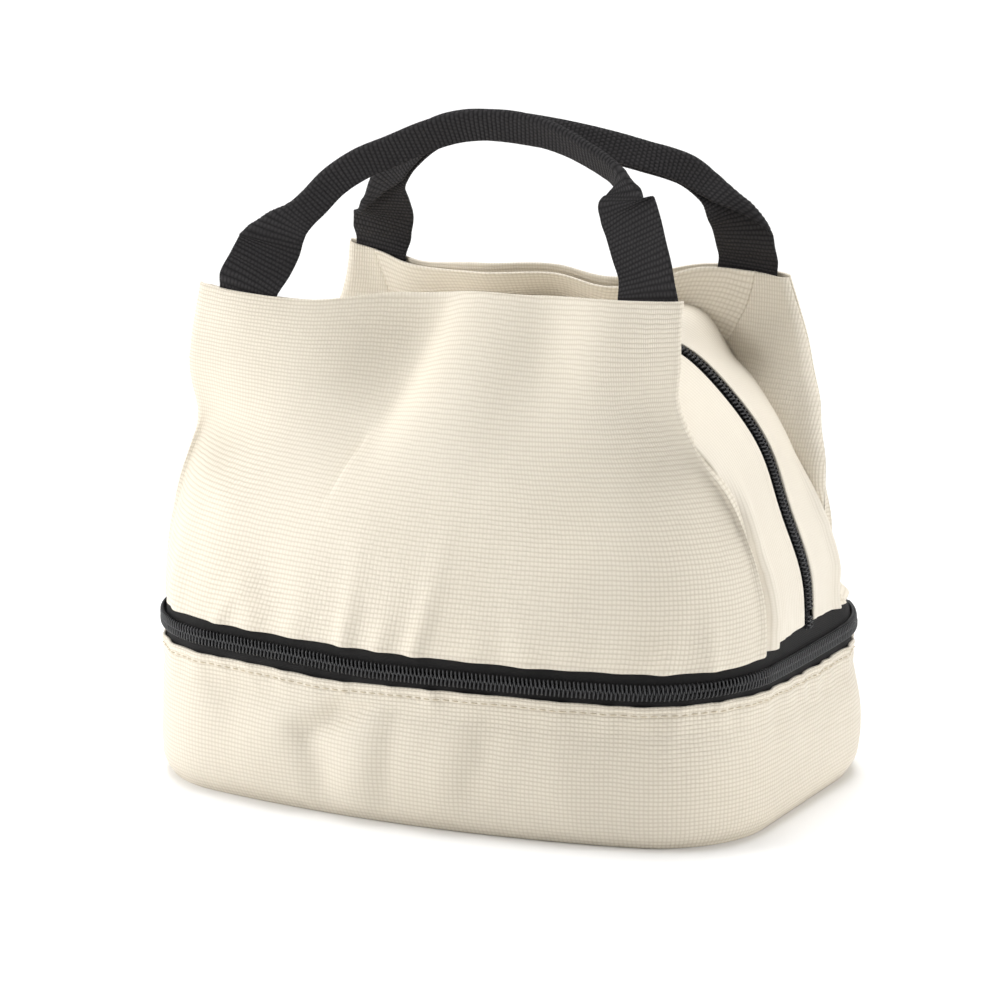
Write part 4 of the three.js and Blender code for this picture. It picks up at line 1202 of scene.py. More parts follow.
@dataclass
class WideZip:
    """Coil zip that joins tub and upper bag, its tapes, its closed end and the cloth hinge behind."""

    plan: BagPlan
    wardrobe: Wardrobe
    level: float = 64.0
    sag_runs: tuple[float, ...] = (
        -274.0, -180.0, -110.0, -50.0, -20.0, 17.0, 90.0, 140.0, 181.0, 227.0, 274.0,
    )
    sags: tuple[float, ...] = (0.0, 0.0, -0.8, -1.2, -2.4, -1.9, -1.4, -0.6, -1.8, -2.3, -1.5)
    panel_foot: float = 71.0
    park_lead: float = 11.0
    end_share: float = 0.6
    tape_foot: float = 48.5
    tape_gap: float = 0.3
    side_rise: float = 4.5
    side_reach: float = 26.0
    hinge_top: float = 72.0
    coil: ZipCoil = field(default_factory=ZipCoil)

    def __post_init__(self) -> None:
        """Works out where the zip starts and ends."""
        plan = self.plan
        self.end = plan.quarter + plan.side_y + self.end_share * (plan.panel_run - plan.bow_run)
        self.park = -(plan.quarter + self.park_lead)

    def middle(self, run: Array) -> Array:
        """Height of the chain's middle line, which sags by run."""
        return self.level + spline(run, self.sag_runs, np.array(self.sags))

    def chain(self, run: Array, across: Array, off: Array) -> Array:
        """Point on the chain: across is measured up from its middle line."""
        return self.plan.wall(run, self.middle(run) + across, off)

    def tape_top(self, run: Array) -> Array:
        """Upper edge of the tape: higher at the sides, where the gusset is cut short."""
        rise = self.side_rise * bell(np.abs(run), self.plan.quarter, self.side_reach)
        return self.panel_foot + 0.6 + rise

    def tape(self, low: Callable[[Array], Array], high: Callable[[Array], Array], tall: float) -> Skin:
        """Upright strip of tape between two heights, each a function of the run."""

        def upright(run: Array, v: Array, off: Array) -> Array:
            return self.plan.wall(run, low(run) + v / tall * (high(run) - low(run)), off + PLY.tape_out)

        runs, heights = graded(-self.end, self.end, 2.0, 0.4), graded(0.0, tall, 1.3, 0.4)
        return shell(upright, runs, heights, PLY.tape, 0.4)

    def build(self) -> None:
        """Makes and seats tapes, coils, closed end and hinge."""
        kit, palette = self.wardrobe, self.wardrobe.palette
        lower = self.tape(
            lambda run: np.full_like(run, self.tape_foot), lambda run: self.middle(run) - self.tape_gap, 14.0
        )
        tape = kit.dress("tub_zip_tape", lower, palette.tape, ["belt_zip_lower_tape"])
        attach(tape, "lower_tub")
        upper = self.tape(lambda run: self.middle(run) + self.tape_gap, self.tape_top, 11.0)
        tape = kit.dress("upper_zip_tape", upper, palette.tape, ["belt_zip_upper_tape"])
        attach(tape, "upper_base")
        start = self.park + 1.0
        for name, node, side, body in (
            ("tub_zip_coil", "belt_zip_lower_coil", -1.0, "lower_tub"),
            ("upper_zip_coil", "belt_zip_upper_coil", 1.0, "upper_base"),
        ):
            shift = 0.5 * self.coil.pitch if side > 0 else 0.0
            row = self.coil.row(self.chain, start + shift, self.end - 2.0, side)
            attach(kit.dress(name, row, palette.coil, [node]), body)
        closed = self.coil.chain(self.chain, -self.end + 1.0, self.park)
        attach(kit.dress("belt_zip_closed_end", closed, palette.coil, ["belt_zip_end"]), "lower_tub")
        self.hinge()

    def hinge(self) -> None:
        """Cream cloth strip across the back, which on the bag folds when the upper bag tips over; here it is
        one fixed strip with a soft crease.
        """
        start, stop = self.end + 1.0, 4 * self.plan.quarter - self.end - 1.0

        def folded(run: Array, z: Array, off: Array) -> Array:
            crease = -0.7 * bell(z, self.level, 1.6) + 0.35 * np.sin(run / 9.0) * bell(z, self.level, 6.0)
            return self.plan.wall(run, z, off + PLY.tape_out + 0.2 + crease)

        heights = graded(self.tape_foot, self.hinge_top, 0.8, 0.5)
        skin = shell(folded, graded(start, stop, 2.0, 0.5), heights, 1.0, 0.5)
        cloth = self.wardrobe.dress(
            "rear_hinge_cloth", skin, self.wardrobe.palette.cream, ["rear_hinge_lower", "rear_hinge_upper"]
        )
        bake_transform(cloth)


@dataclass
class Divider:
    """Padded floor between the compartments, lined on both faces."""

    plan: BagPlan
    wardrobe: Wardrobe

    def build(self) -> None:
        """Makes and seats the two linings and the pad."""
        kit, palette = self.wardrobe, self.wardrobe.palette
        for name, node, top in (
            ("divider_under_lining_film", "divider_under_lining", 66.8),
            ("divider_top_lining_film", "divider_top_lining", 72.5),
        ):
            skin = self.plan.plate(PLY.foam_out, top, PLY.lining, 4.0, 0.4)
            film = kit.dress(name, skin, palette.lining, [node])
            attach(film, "upper_base")
        pad = kit.dress(
            "divider_pad", self.plan.plate(PLY.foam_out - 0.4, 71.1, PLY.foam, 7.0, 1.6), palette.foam,
            ["divider_foam"],
        )
        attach(pad, "upper_base")


@dataclass
class UpperHalf:
    """Half of the upper bag: panel with free ears, padding, lining, gusset and half an arch zip."""

    form: PanelForm
    wardrobe: Wardrobe
    seed: int
    puff: float
    ear_low: float
    coil: ZipCoil = field(
        default_factory=lambda: ZipCoil(reach=2.5, hook=0.45, low=-0.8, high=0.6, wire=0.36)
    )
    strip_clear: float = 4.75
    tape_reach: float = 8.0
    recess: float = 4.4
    ear_free: tuple[float, float] = (128.0, 152.0)
    curl: float = 5.0
    pucker_edge: tuple[float, float] = (14.0, 52.0)
    crease_fade: tuple[float, float] = (112.0, 146.0)
    puff_rise: tuple[float, float] = (30.0, 58.0)
    puff_end: float = 84.0
    puff_fade: float = 25.0
    facing_tuck: float = 11.0
    rim_bend: float = 8.0
    rim_meet: float = 2.6
    seam_foot: float = 66.0
    seam_slant: float = 21.0
    foot_shares: tuple[float, ...] = (0.0, 0.15, 0.6, 0.87, 1.0)
    foot_sags: tuple[float, ...] = (-1.9, -1.7, -1.0, -0.2, 1.1)
    inner_share: float = 0.91
    inner_foot: float = 77.5
    inner_tuck: float = 12.0

    def __post_init__(self) -> None:
        """Sets the half's own names and puckers."""
        self.side = self.form.side
        self.body = f"{self.side.word}_half"
        run = self.form.plan.panel_run
        self.gather = Gather(self.form.foot - 1.0, 19.0, 3.2, 19.0, (-run, run), self.seed)

    def foot(self, u: Array) -> Array:
        """Lower edge of the panel: it sags in the middle and rises towards the gusset."""
        return self.form.foot + spline(np.abs(u), self.foot_shares, np.array(self.foot_sags))

    def relief(self, u: Array, z: Array) -> Array:
        """Puckers over the zip, a raised seam along the side edges and a turned hem along the top."""
        run = u * self.form.plan.panel_run
        edge = (1.0 - np.abs(u)) * self.form.plan.panel_run
        free = smooth(z, *self.ear_free)
        curl = (1.0 - np.clip(edge / self.curl, 0.0, 1.0)) ** 2
        sewn = self.recess / 3.0 * (1.3 * bell(edge, 3.6, 3.4) - 1.2 * np.exp(-edge / 1.1))
        lip = (1.0 - free) * sewn - free * curl
        seam = 0.8 * np.exp(-np.maximum(0.0, z - self.foot(u)) / 5.0)
        hem = 0.25 * smooth(z, self.form.head - 11.0, self.form.head - 8.0)
        calm = smooth(edge, *self.pucker_edge)
        return calm * self.gather.lift(run, z) + lip + seam + hem

    def cloth(self, run: Array, rise: Array, off: Array) -> Array:
        """Point on the outer cloth by run across and rise above the foot."""
        u = run / self.form.plan.panel_run
        foot = self.foot(u)
        z = foot + rise / (self.form.head - self.form.foot) * (self.form.top(u) - foot)
        return self.form.point(u, z, off + self.relief(u, z))

    def seat(self, piece: bpy.types.Object) -> None:
        """Bakes the piece's transform into its mesh; the piece is not put on a body."""
        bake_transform(piece)

    def build(self) -> None:
        """Makes and seats every ply of the half."""
        kit, palette, word, plan = self.wardrobe, self.wardrobe.palette, self.side.word, self.form.plan
        span = self.form.head - self.form.foot
        runs = graded(-plan.panel_run, plan.panel_run, 1.6, 0.8)
        panel = kit.dress(
            f"{word}_panel_cloth", shell(self.cloth, runs, graded(0.0, span, 1.3, 0.8), 1.6, 0.8),
            palette.cream, [f"{word}_panel"],
        )
        self.seat(panel)
        for name, node, inset, thick, finish in (
            (f"{word}_panel_pad", f"{word}_foam", PLY.foam_out - 0.3, PLY.upper_foam, palette.foam),
            (f"{word}_panel_lining", f"{word}_liner", PLY.upper_liner_out - 0.4, PLY.lining, palette.lining),
        ):
            piece = kit.dress(name, self.inner_ply(inset, thick), finish, [node])
            self.seat(piece)
        facing = kit.dress(f"{word}_ear_facing", self.facing(), palette.cream, [f"{word}_facing"])
        self.seat(facing)
        self.gusset()
        self.arch_zip()

    def inner_ply(self, inset: float, thick: float) -> Skin:
        """Ply inside the panel, from the floor to just under the dome."""
        plan, form = self.form.plan, self.form
        reach, low, tall = self.inner_share * plan.panel_run, self.inner_foot, 100.0

        def ply(run: Array, rise: Array, off: Array) -> Array:
            u = run / plan.panel_run
            z = low + rise / tall * (form.under(u, self.inner_tuck) - low)
            return form.point(u, z, off + inset)

        rim = min(1.5, thick / 2)
        return shell(ply, graded(-reach, reach, 4.0, rim), graded(0.0, tall, 4.0, rim), thick, rim)

    def facing(self) -> Skin:
        """Inner band behind the top edge and, beyond slanted seams, the inner plies of both ears."""
        form, panel_run = self.form, self.form.plan.panel_run
        half, tall, ear = 82.0, 30.0, 24.0

        def ply(u: Array, up: Array, off: Array, soft: Array) -> Array:
            low = np.maximum(form.under(u, self.facing_tuck), self.ear_low)
            z = low + up * (form.top(u) - 1.0 - low)
            bend = 1.0 - np.clip((1.0 - np.abs(u)) * panel_run / self.rim_bend, 0.0, 1.0)
            meet = self.rim_meet * bend**2
            return form.point(u, z, off + PLY.facing_out + soft + meet)

        def seam(up: Array) -> Array:
            return form.share_at(self.seam_foot + self.seam_slant * up, np.full_like(up, form.head))

        def band(run: Array, rise: Array, off: Array) -> Array:
            up = rise / tall
            u = run / half * seam(up)
            wave = 0.9 * np.sin(run / 8.0 + 1.7 - 1.6 * up) * bell(up, 0.55, 0.5)
            return ply(u, up, off, wave * smooth(half - np.abs(run), 0.0, 9.0))

        def flap(sign: float) -> Surface:
            def place(run: Array, rise: Array, off: Array) -> Array:
                up = rise / tall
                near = seam(up) - 1.0 / panel_run
                u = sign * (near + run / ear * (0.997 - near))
                tuck = 0.7 * np.exp(-run / 1.6)
                return ply(u, up, off, tuck + 0.3 * np.sin(run / 5.0) * smooth(run, 0.0, 6.0))
            return place

        rows = graded(0.0, tall, 1.3, 0.5)
        skin = shell(band, graded(-half, half, 1.6, 0.5), rows, 1.0, 0.5)
        for sign in (-1.0, 1.0):
            skin = skin.plus(shell(flap(sign), graded(0.0, ear, 1.3, 0.5), rows, 1.0, 0.5).laid().turned())
        return skin

    def gusset(self) -> None:
        """Strip between zip and panel, and its lining: y = lerp(clear, seam(run), v), foot cut on a rise."""
        kit, palette, word, form = self.wardrobe, self.wardrobe.palette, self.side.word, self.form
        flip = np.array([1.0, self.side.value, 1.0])
        width = form.plan.side_y - self.strip_clear
        gather = Gather(form.foot + 5.0, 12.0, 0.7, 8.0, (-form.plan.side_y, form.plan.side_y), self.seed + 3)

        def strip(inset: float, near: float, trim: float, foot: float, soft: float) -> Surface:
            def place(run: Array, v: Array, off: Array) -> Array:
                lift = foot + 2.1 * (1.0 - v / width)
                cut = run * (form.dome.end - lift) / form.dome.end
                seam = form.seam(cut)
                y = near + v / width * (seam - trim - near)
                x, z, _, _ = form.dome.at(cut)
                edge = np.minimum(v, width - v)
                tight = self.recess * (1.0 - smooth(z, *self.crease_fade))
                far = width - v
                crease = 0.7 * bell(far, 7.6, 3.0) - 1.1 * bell(far, 0.0, 4.2)
                roll = 0.4 * bell(v, 1.6, 1.5) + tight * crease
                bow = soft * (roll + smooth(edge, 0.0, 6.0) * gather.lift(y, z))
                corner = 0.0092 * np.maximum(0.0, y - form.plan.side_y) ** 2
                puff = self.puff * smooth(self.puff_end - x, 0.0, self.puff_fade) * smooth(x, *self.puff_rise)
                puff = puff * smooth((y - self.strip_clear) / (seam - self.strip_clear), 0.1, 1.0)
                return form.dome.point(cut, -y, off + inset + bow + puff - corner) * flip
            return place

        reach = form.dome.end
        skin = shell(
            strip(0.0, self.strip_clear, 0.0, 1.3, 1.0), graded(-reach, reach, 1.6, 0.6),
            graded(0.0, width, 1.5, 0.6), 1.2, 0.6,
        )
        cloth = kit.dress(f"{word}_gusset_cloth", skin, palette.gusset, [f"{word}_gusset"])
        self.seat(cloth)
        lining = shell(
            strip(PLY.tape_out - 0.5, self.tape_reach + 0.4, 9.0, 4.0, 0.0), graded(-reach, reach, 4.0, 0.6),
            graded(0.0, width, 3.0, 0.6), 1.6, 0.6,
        )
        film = kit.dress(f"{word}_gusset_film", lining, palette.lining, [f"{word}_gusset_lining"])
        self.seat(film)

    def arch_zip(self) -> None:
        """This half's tape and coil of the arch zip."""
        kit, palette, word, dome = self.wardrobe, self.wardrobe.palette, self.side.word, self.form.dome
        flip = np.array([1.0, self.side.value, 1.0])
        first, last = -dome.run_at(dome.park_top), dome.run_at(dome.stop_top)

        def tape(run: Array, v: Array, off: Array) -> Array:
            return dome.point(run, -(0.3 + v), off + PLY.tape_out) * flip

        runs, widths = graded(first + 0.3, last - 0.3, 2.0, 0.4), graded(0.0, 10.2, 1.2, 0.4)
        skin = shell(tape, runs, widths, PLY.tape, 0.4)
        strip = kit.dress(f"arch_{word}_tape", skin, palette.tape, [f"arch_zip_{word}_tape"])
        self.seat(strip)

        def ridge(run: Array, across: Array, off: Array) -> Array:
            return dome.point(run, across, off)

        shift = 0.0 if self.side is Side.FRONT else 0.5 * self.coil.pitch
        row = self.coil.row(ridge, first + 0.6 + shift, last - 0.6, -self.side.value)
        coil = kit.dress(f"arch_{word}_coil", row, palette.coil, [f"arch_zip_{word}_coil"])
        self.seat(coil)


@dataclass
class ArchEnds:
    """Sewn ends of the arch zip: closed chain on its own tape, fixed to the floor of the upper bag."""

    dome: Dome
    wardrobe: Wardrobe
    coil: ZipCoil
    tape_half: float = 4.45

    def tape(self, run: Array, v: Array, off: Array) -> Array:
        """Point on the tape behind the chain."""
        return self.dome.point(run, v, off + PLY.tape_out)

    def build(self) -> None:
        """Makes and seats both ends."""
        kit, palette = self.wardrobe, self.wardrobe.palette
        low = self.dome.end - 0.3
        for name, first, last in (
            ("left", -low, -self.dome.run_at(self.dome.park_top)),
            ("right", self.dome.run_at(self.dome.stop_top), low),
        ):
            widths = graded(-self.tape_half, self.tape_half, 1.2, 0.3)
            skin = shell(self.tape, graded(first, last, 1.5, 0.3), widths, PLY.tape, 0.3)
            tape = kit.dress(f"arch_end_{name}_tape", skin, palette.tape, [f"arch_zip_end_{name}"])
            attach(tape, "upper_base")
            closed = self.coil.chain(self.dome.point, first + 0.5, last)
            chain = kit.dress(f"arch_end_{name}_coil", closed, palette.coil, [f"arch_zip_end_{name}"])
            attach(chain, "upper_base")


@dataclass(frozen=True)
class StrapStop:
    """One place along a strap: its middle, the direction across it, and how far it is folded in two."""

    middle: tuple[float, float, float]
    across: tuple[float, float, float]
    fold: float


@dataclass
class Strap:
    """Webbing handle: flat at its sewn ends, folded in two along the grip."""

    form: PanelForm
    wardrobe: Wardrobe
    stops: tuple[StrapStop, ...]
    feet: tuple[float, float]
    width: float = 25.0
    thick: float = 1.5
    bend: float = 3.6
    turn_over: float = 0.97
    rim: float = 0.7
    station: float = 0.6
    fade: float = 8.0
    lean: float = 0.05
    tail: float = 22.0
    tail_top: float = 13.0
    pivot: tuple[float, float] = (51.5, 204.5)

    def tail_stops(self, sign: float) -> list[StrapStop]:
        """Stops in the panel top, between cloth and facing, read from the panel's own form."""
        made = []
        for depth in (self.tail, self.tail_top):
            x = np.array([sign * (self.feet[sign > 0] - self.lean * depth)])
            z = np.full_like(x, self.form.head + 2.0 - depth)
            u = self.form.share_near(x, z)
            off = np.full_like(u, PLY.tail_out - self.thick / 2)
            here = self.form.point(u, z, off)[0]
            beside = self.form.point(u + 0.02, z, off)[0]
            made.append(StrapStop(tuple(here), tuple(unit(beside - here)), 0.0))
        return made

    def section(self, fold: Array, q: Array) -> tuple[Array, Array, Array]:
        """Section of the webbing, measured from its middle line.

        A crease at c = (fold - 1) * (width + bend) / 2 moves from the outer edge to the middle as the fold
        closes; the part with q < c is turned over by turn_over * pi, on a short bend.

        Args:
            fold: how far each station is folded, 0 to 1.
            q: width coordinate of each corner.

        Returns:
            Places along the across axis and the normal, and the direction angle, by station and corner.
        """
        sense = -self.form.side.value
        crease = (fold - 1.0) * (self.width + self.bend) / 2
        over = np.clip(0.5 - (q[None, :] - crease[:, None]) / self.bend, 0.0, 1.0)
        turn = sense * self.turn_over * np.pi * over
        step = np.diff(q)[None, :]
        mean = (turn[:, 1:] + turn[:, :-1]) / 2
        middle = np.argmin(np.abs(q - self.width / 4))
        places = []
        for part in (np.cos(mean), np.sin(mean)):
            run = np.concatenate([np.zeros((len(fold), 1)), np.cumsum(part * step, axis=1)], axis=1)
            places.append(run - run[:, middle : middle + 1])
        return places[0], places[1], turn

    def rings(self) -> tuple[Array, Array, Array]:
        """Rings of the strap along a spline through its stops.

        Returns:
            Ring points, length along the strap, and width across it.
        """
        left, right = self.tail_stops(-1.0), self.tail_stops(1.0)
        stops = [*left, *self.stops, *reversed(right)]
        middles = np.array([stop.middle for stop in stops])
        sides = np.array([stop.across for stop in stops])
        sides[-len(right):] *= -1.0
        folds = np.array([stop.fold for stop in stops])
        half = self.width / 2
        q = graded(-half, half, 0.9, self.rim)
        places = middles
        ahead = unit(np.gradient(middles, axis=0))
        across = unit(sides - (sides * ahead).sum(axis=1, keepdims=True) * ahead)
        normal = np.cross(ahead, across)
        for share, axis in zip(self.section(folds, q)[:2], (across, normal)):
            centre = (share.max(axis=1, keepdims=True) + share.min(axis=1, keepdims=True)) / 2
            places = places - centre * axis
        knots = np.concatenate([[0.0], np.cumsum(np.linalg.norm(np.diff(places, axis=0), axis=1))])
        along = np.linspace(0.0, knots[-1], int(knots[-1] / self.station))
        path = np.stack([spline(along, knots, places[:, k]) for k in range(3)], axis=-1)
        across = np.stack([spline(along, knots, sides[:, k]) for k in range(3)], axis=-1)
        ahead = unit(np.gradient(path, axis=0))
        across = unit(across - (across * ahead).sum(axis=1, keepdims=True) * ahead)
        normal = np.cross(ahead, across)
        fold = np.clip(spline(along, knots, folds), 0.0, 1.0)
        a, b, turn = self.section(fold, q)
        edge = np.clip((half - np.abs(q)) / self.rim, 0.0, 1.0)
        thin = (self.thick / 2 * (0.25 + 0.75 * np.sqrt(1.0 - (1.0 - edge) ** 2)))[None, :]
        over = [a - np.sin(turn) * thin, b + np.cos(turn) * thin]
        under = [a + np.sin(turn) * thin, b - np.cos(turn) * thin]
        flat = [np.concatenate([o, u[:, ::-1]], axis=1) for o, u in zip(over, under)]
        points = path[:, None] + flat[0][..., None] * across[:, None] + flat[1][..., None] * normal[:, None]
        return self.seated(points, flat[1]), along, np.concatenate([q, q[::-1]])

    def seated(self, points: Array, rise: Array) -> Array:
        """Moves the tails onto the inner face of the panel; the pull fades out above its top edge."""
        form = self.form
        ends = points[..., 2].min(axis=1) < form.head + form.ear_rise + 14.0
        low = points[ends]
        u, level = form.seat(low[..., 0], low[..., 2])
        off = PLY.tail_out - self.thick / 2 - form.side.value * rise[ends]
        rim = form.skin(u, form.top(u))[..., 2]
        hold = 1.0 - smooth(low[..., 2], rim - 1.0, rim + self.fade)
        low[..., 1] += hold * (form.point(u, level, off)[..., 1] - low[..., 1])
        points[ends] = low
        return points

    def build(self) -> None:
        """Makes the strap and bakes its transform into its mesh."""
        word = self.form.side.word
        rings, along, across = self.rings()
        skin = tube(rings, along, across).turned()
        nodes = [f"{word}_handle", f"{word}_handle_tail_left", f"{word}_handle_tail_right"]
        strap = self.wardrobe.dress(f"{word}_webbing_handle", skin, self.wardrobe.palette.webbing, nodes)
        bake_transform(strap)


FRONT_STRAP = (
    StrapStop((-88.3, -54.0, 197.4), (0.93, 0.34, -0.08), 0.0),
    StrapStop((-84.6, -51.0, 206.5), (0.90, 0.42, -0.06), 0.0),
    StrapStop((-81.0, -47.0, 216.5), (0.89, 0.44, -0.10), 0.06),
    StrapStop((-79.0, -44.0, 220.3), (0.89, 0.40, -0.18), 0.30),
    StrapStop((-76.3, -41.0, 222.9), (0.91, 0.26, -0.30), 0.60),
    StrapStop((-73.0, -38.2, 225.3), (0.85, 0.18, -0.48), 0.90),
    StrapStop((-67.8, -34.5, 230.9), (0.68, 0.16, -0.71), 1.0),
    StrapStop((-62.0, -31.0, 238.0), (0.62, 0.15, -0.77), 1.0),
    StrapStop((-51.9, -26.8, 245.7), (0.58, 0.17, -0.79), 1.0),
    StrapStop((-40.1, -22.0, 251.4), (0.45, 0.24, -0.86), 1.0),
    StrapStop((-27.7, -18.0, 257.4), (0.24, 0.26, -0.92), 1.0),
    StrapStop((-16.1, -14.5, 261.4), (0.05, 0.21, -0.98), 1.0),
    StrapStop((1.8, -12.0, 263.4), (-0.03, 0.16, -0.98), 1.0),
    StrapStop((23.4, -13.2, 261.7), (-0.06, 0.36, -0.93), 1.0),
    StrapStop((34.2, -15.5, 259.2), (-0.13, 0.50, -0.85), 1.0),
    StrapStop((42.0, -18.0, 256.8), (-0.20, 0.58, -0.79), 1.0),
    StrapStop((50.4, -21.0, 254.0), (-0.30, 0.62, -0.72), 1.0),
    StrapStop((56.5, -24.0, 251.6), (-0.42, 0.70, -0.58), 1.0),
    StrapStop((60.4, -27.0, 249.3), (-0.58, 0.74, -0.34), 0.97),
    StrapStop((62.9, -30.0, 246.2), (-0.85, 0.50, -0.16), 0.62),
    StrapStop((64.9, -33.0, 243.0), (-0.97, 0.18, -0.10), 0.22),
    StrapStop((66.9, -35.2, 240.4), (-0.98, 0.15, -0.10), 0.04),
    StrapStop((70.0, -38.0, 235.8), (-0.98, 0.15, -0.09), 0.0),
    StrapStop((74.8, -42.0, 226.8), (-0.98, 0.15, -0.10), 0.0),
    StrapStop((79.1, -45.0, 217.6), (-0.97, 0.17, -0.13), 0.0),
    StrapStop((80.9, -46.6, 211.0), (-0.97, 0.18, -0.12), 0.0),
)
BACK_STRAP = (
    StrapStop((-81.0, 51.0, 196.0), (0.99, 0.05, -0.06), 0.0),
    StrapStop((-79.4, 47.2, 204.2), (0.99, 0.08, -0.03), 0.02),
    StrapStop((-75.8, 42.5, 211.2), (0.97, 0.18, 0.0), 0.2),
    StrapStop((-73.3, 38.0, 217.8), (0.98, 0.12, 0.0), 0.45),
    StrapStop((-70.6, 34.2, 225.0), (0.96, 0.0, -0.18), 0.8),
    StrapStop((-64.6, 31.0, 233.1), (0.86, -0.15, -0.49), 1.0),
    StrapStop((-56.5, 28.0, 241.5), (0.78, -0.22, -0.57), 1.0),
    StrapStop((-47.0, 25.0, 248.6), (0.68, -0.30, -0.66), 1.0),
    StrapStop((-32.5, 20.0, 254.7), (0.45, -0.44, -0.77), 1.0),
    StrapStop((-11.4, 15.5, 257.3), (0.27, -0.48, -0.84), 1.0),
    StrapStop((3.1, 14.0, 257.0), (0.16, -0.46, -0.87), 1.0),
    StrapStop((16.6, 13.5, 255.9), (0.06, -0.40, -0.91), 1.0),
    StrapStop((40.5, 16.0, 252.0), (0.05, -0.42, -0.90), 1.0),
    StrapStop((50.6, 20.0, 249.1), (-0.02, -0.50, -0.86), 1.0),
    StrapStop((58.4, 24.0, 246.4), (-0.18, -0.50, -0.84), 1.0),
    StrapStop((64.4, 27.0, 243.6), (-0.33, -0.52, -0.78), 1.0),
    StrapStop((70.6, 30.0, 238.6), (-0.42, -0.70, -0.56), 1.0),
    StrapStop((74.7, 32.5, 233.8), (-0.52, -0.80, -0.26), 0.92),
    StrapStop((78.0, 36.0, 227.6), (-0.76, -0.60, -0.06), 0.62),
    StrapStop((81.2, 39.0, 221.2), (-0.96, -0.18, -0.08), 0.24),
    StrapStop((82.5, 42.0, 214.7), (-0.99, 0.0, -0.09), 0.04),
    StrapStop((82.4, 45.4, 208.4), (-0.98, 0.0, -0.06), 0.0),
    StrapStop((81.8, 48.6, 202.4), (-0.98, 0.0, 0.0), 0.0),
)
FRONT_FOLDS = (
    Fold((-9.0, 207.0), (-31.0, 152.0), 23.0, -10.0, steep=2.1),
    Fold((14.0, 198.0), (4.0, 150.0), 16.0, 2.0),
    Fold((72.0, 202.0), (62.0, 160.0), 15.0, 2.4),
    Fold((44.0, 206.0), (34.0, 160.0), 16.0, -2.6),
    Fold((-104.0, 121.0), (-80.0, 106.0), 9.0, 1.4),
    Fold((96.0, 124.0), (60.0, 100.0), 14.0, 1.8),
    Fold((-62.0, 124.0), (16.0, 112.0), 24.0, 2.2),
    Fold((30.0, 140.0), (70.0, 118.0), 16.0, -1.8),
    Fold((-84.0, 104.0), (-60.0, 84.0), 10.0, -1.6),
)
BACK_FOLDS = (
    Fold((20.0, 203.0), (38.0, 150.0), 13.0, -3.2),
    Fold((-30.0, 203.0), (-44.0, 156.0), 14.0, -2.4),
    Fold((76.0, 192.0), (66.0, 150.0), 16.0, 1.8),
    Fold((-70.0, 190.0), (-60.0, 150.0), 18.0, 1.8),
    Fold((0.0, 120.0), (60.0, 110.0), 26.0, 1.3),
    Fold((94.0, 132.0), (80.0, 112.0), 7.0, -1.0),
)


@dataclass
class Hardware:
    """Metal zip sliders and pulls and the base board, kept as the frame's own solids."""

    wardrobe: Wardrobe

    def build(self) -> None:
        """Gives each kept node its finish."""
        palette = self.wardrobe.palette
        finishes = {name: palette.metal for name in ("belt_slider", "belt_pull", "arch_slider", "arch_pull")}
        finishes["base_board"] = palette.board
        for name, finish in finishes.items():
            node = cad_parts[name]
            node.data.materials.clear()
            node.data.materials.append(self.wardrobe.material(finish))
            LOG.info("%s keeps its solid, in %s", name, finish.name)


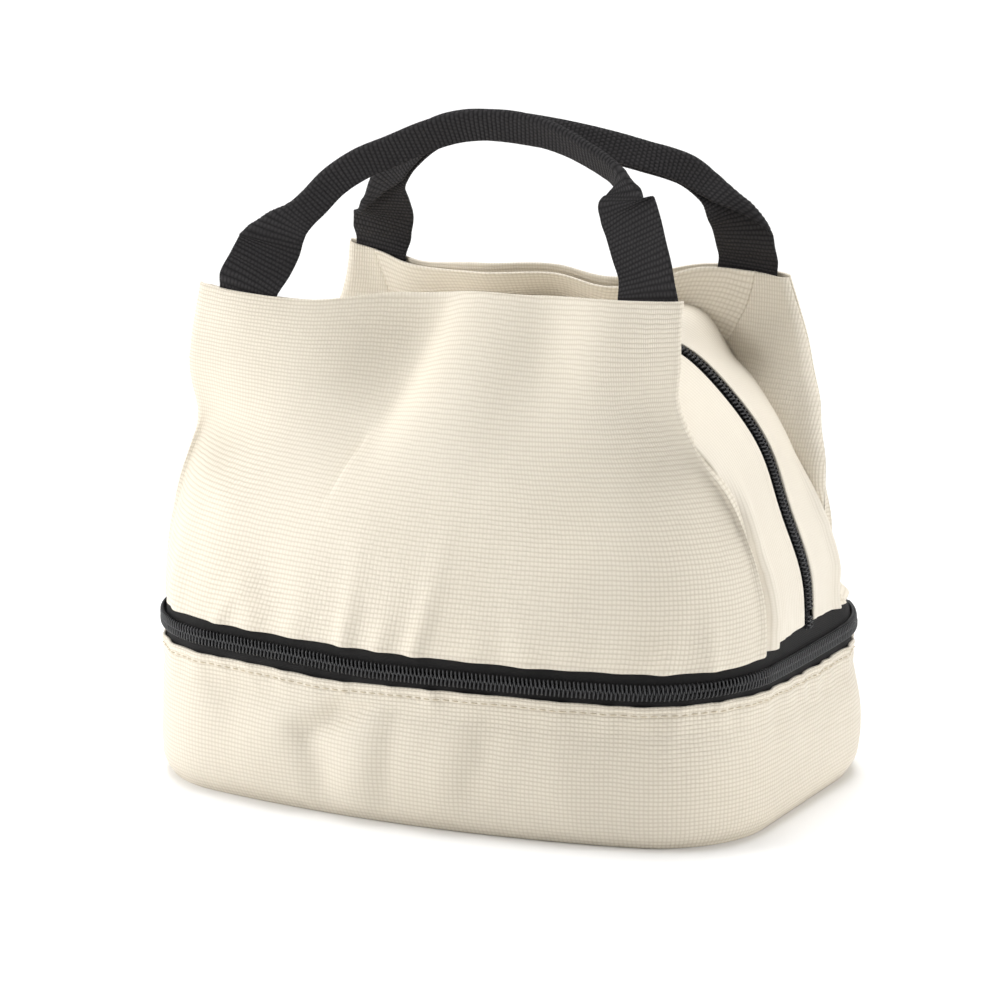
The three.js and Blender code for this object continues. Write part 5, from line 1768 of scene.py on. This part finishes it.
@dataclass
class Studio:
    """Pale floor, soft lights and the camera at the photograph's angle."""

    azimuth: float = 25.5
    elevation: float = 14.01
    distance: float = 2.6
    target: tuple[float, float, float] = (0.0, 0.0, 0.1101)
    lens: float = 235.5
    aside: float = -0.00362
    above: float = -0.00036
    key_place: tuple[float, float, float] = (-0.58, -0.42, 0.36)
    key_power: float = 3.4
    key_size: float = 0.36
    surround: float = 0.2

    def build(self) -> None:
        """Makes floor, world, lights and camera."""
        scene = bpy.context.scene
        scene.view_settings.view_transform = "Standard"
        a, e = math.radians(self.azimuth), math.radians(self.elevation)
        back = Vector((math.sin(a) * math.cos(e), -math.cos(a) * math.cos(e), math.sin(e)))
        right = Vector((math.cos(a), math.sin(a), 0.0))
        up = back.cross(right)
        aim = Vector(self.target) + self.aside * right + self.above * up
        lens = bpy.data.cameras.new("view")
        lens.lens, lens.sensor_width = self.lens, 36.0
        lens.clip_start, lens.clip_end = 0.05, 60.0
        camera = bpy.data.objects.new("view", lens)
        camera.location = aim + self.distance * back
        camera.rotation_mode = "QUATERNION"
        camera.rotation_quaternion = back.to_track_quat("Z", "Y")
        scene.collection.objects.link(camera)
        scene.camera = camera
        self.floor()
        self.lights()

    def floor(self) -> None:
        """Wide pale floor, matt and even."""
        side = np.linspace(-30.0, 30.0, 7)
        x, y = np.meshgrid(side, side, indexing="ij")
        mesh = bpy.data.meshes.new("floor")
        index = np.arange(x.size).reshape(x.shape)
        points = stacked(x, y, np.full_like(x, -0.0002)).reshape(-1, 3)
        mesh.from_pydata(points.tolist(), [], cells(index, False).tolist())
        floor = bpy.data.objects.new("floor", mesh)
        bpy.context.scene.collection.objects.link(floor)
        made = bpy.data.materials.new("pale_floor")
        made.use_nodes = True
        shade = made.node_tree.nodes["Principled BSDF"]
        shade.inputs["Base Color"].default_value = (0.97, 0.97, 0.97, 1.0)
        shade.inputs["Roughness"].default_value = 0.9
        shade.inputs["Specular IOR Level"].default_value = 0.1
        mesh.materials.append(made)

    def lights(self) -> None:
        """Dim surround, a soft key close by on the left, a fill from the right and a broad top light."""
        world = bpy.data.worlds.new("surround")
        world.use_nodes = True
        ground = world.node_tree.nodes["Background"]
        ground.inputs[0].default_value = (1.0, 1.0, 1.0, 1.0)
        ground.inputs[1].default_value = self.surround
        bpy.context.scene.world = world
        for name, toward, angle, power in (
            ("fill", (0.95, 0.12, 0.29), 40.0, 1.6),
            ("top", (-0.1, 0.2, 0.97), 40.0, 2.75),
        ):
            lamp = bpy.data.lights.new(name, "SUN")
            lamp.angle, lamp.energy = math.radians(angle), power
            self.hang(lamp, Vector(toward), Vector((0.0, 0.0, 0.0)))
        lamp = bpy.data.lights.new("key", "AREA")
        lamp.size, lamp.energy = self.key_size, self.key_power
        self.hang(lamp, Vector(self.key_place), Vector(self.target))

    @staticmethod
    def hang(lamp: bpy.types.Light, place: Vector, aim: Vector) -> None:
        """Links a lamp at a place, turned to its aim."""
        light = bpy.data.objects.new(lamp.name, lamp)
        light.location = place
        light.rotation_mode = "QUATERNION"
        light.rotation_quaternion = (place - aim).to_track_quat("Z", "Y")
        bpy.context.scene.collection.objects.link(light)


def main() -> None:
    logging.basicConfig(level=logging.INFO, format="%(message)s")
    Studio().build()
    plan = BagPlan()
    dome = Dome(plan)
    wardrobe = Wardrobe()
    LowerTub(plan, wardrobe).build()
    WideZip(plan, wardrobe).build()
    Divider(plan, wardrobe).build()
    for side, sway, folds, stops, feet, seed, puff, ear_low in (
        (Side.FRONT, FRONT_SWAY, FRONT_FOLDS, FRONT_STRAP, (90.0, 81.0), 21, 3.0, 142.0),
        (Side.BACK, BACK_SWAY, BACK_FOLDS, BACK_STRAP, (80.0, 82.0), 34, 12.0, 100.0),
    ):
        form = PanelForm(plan, dome, side, sway, folds)
        half = UpperHalf(form, wardrobe, seed, puff=puff, ear_low=ear_low)
        half.build()
        Strap(form, wardrobe, stops, feet=feet).build()
    ArchEnds(dome, wardrobe, half.coil).build()
    Hardware(wardrobe).build()


if __name__ == "__main__":
    main()
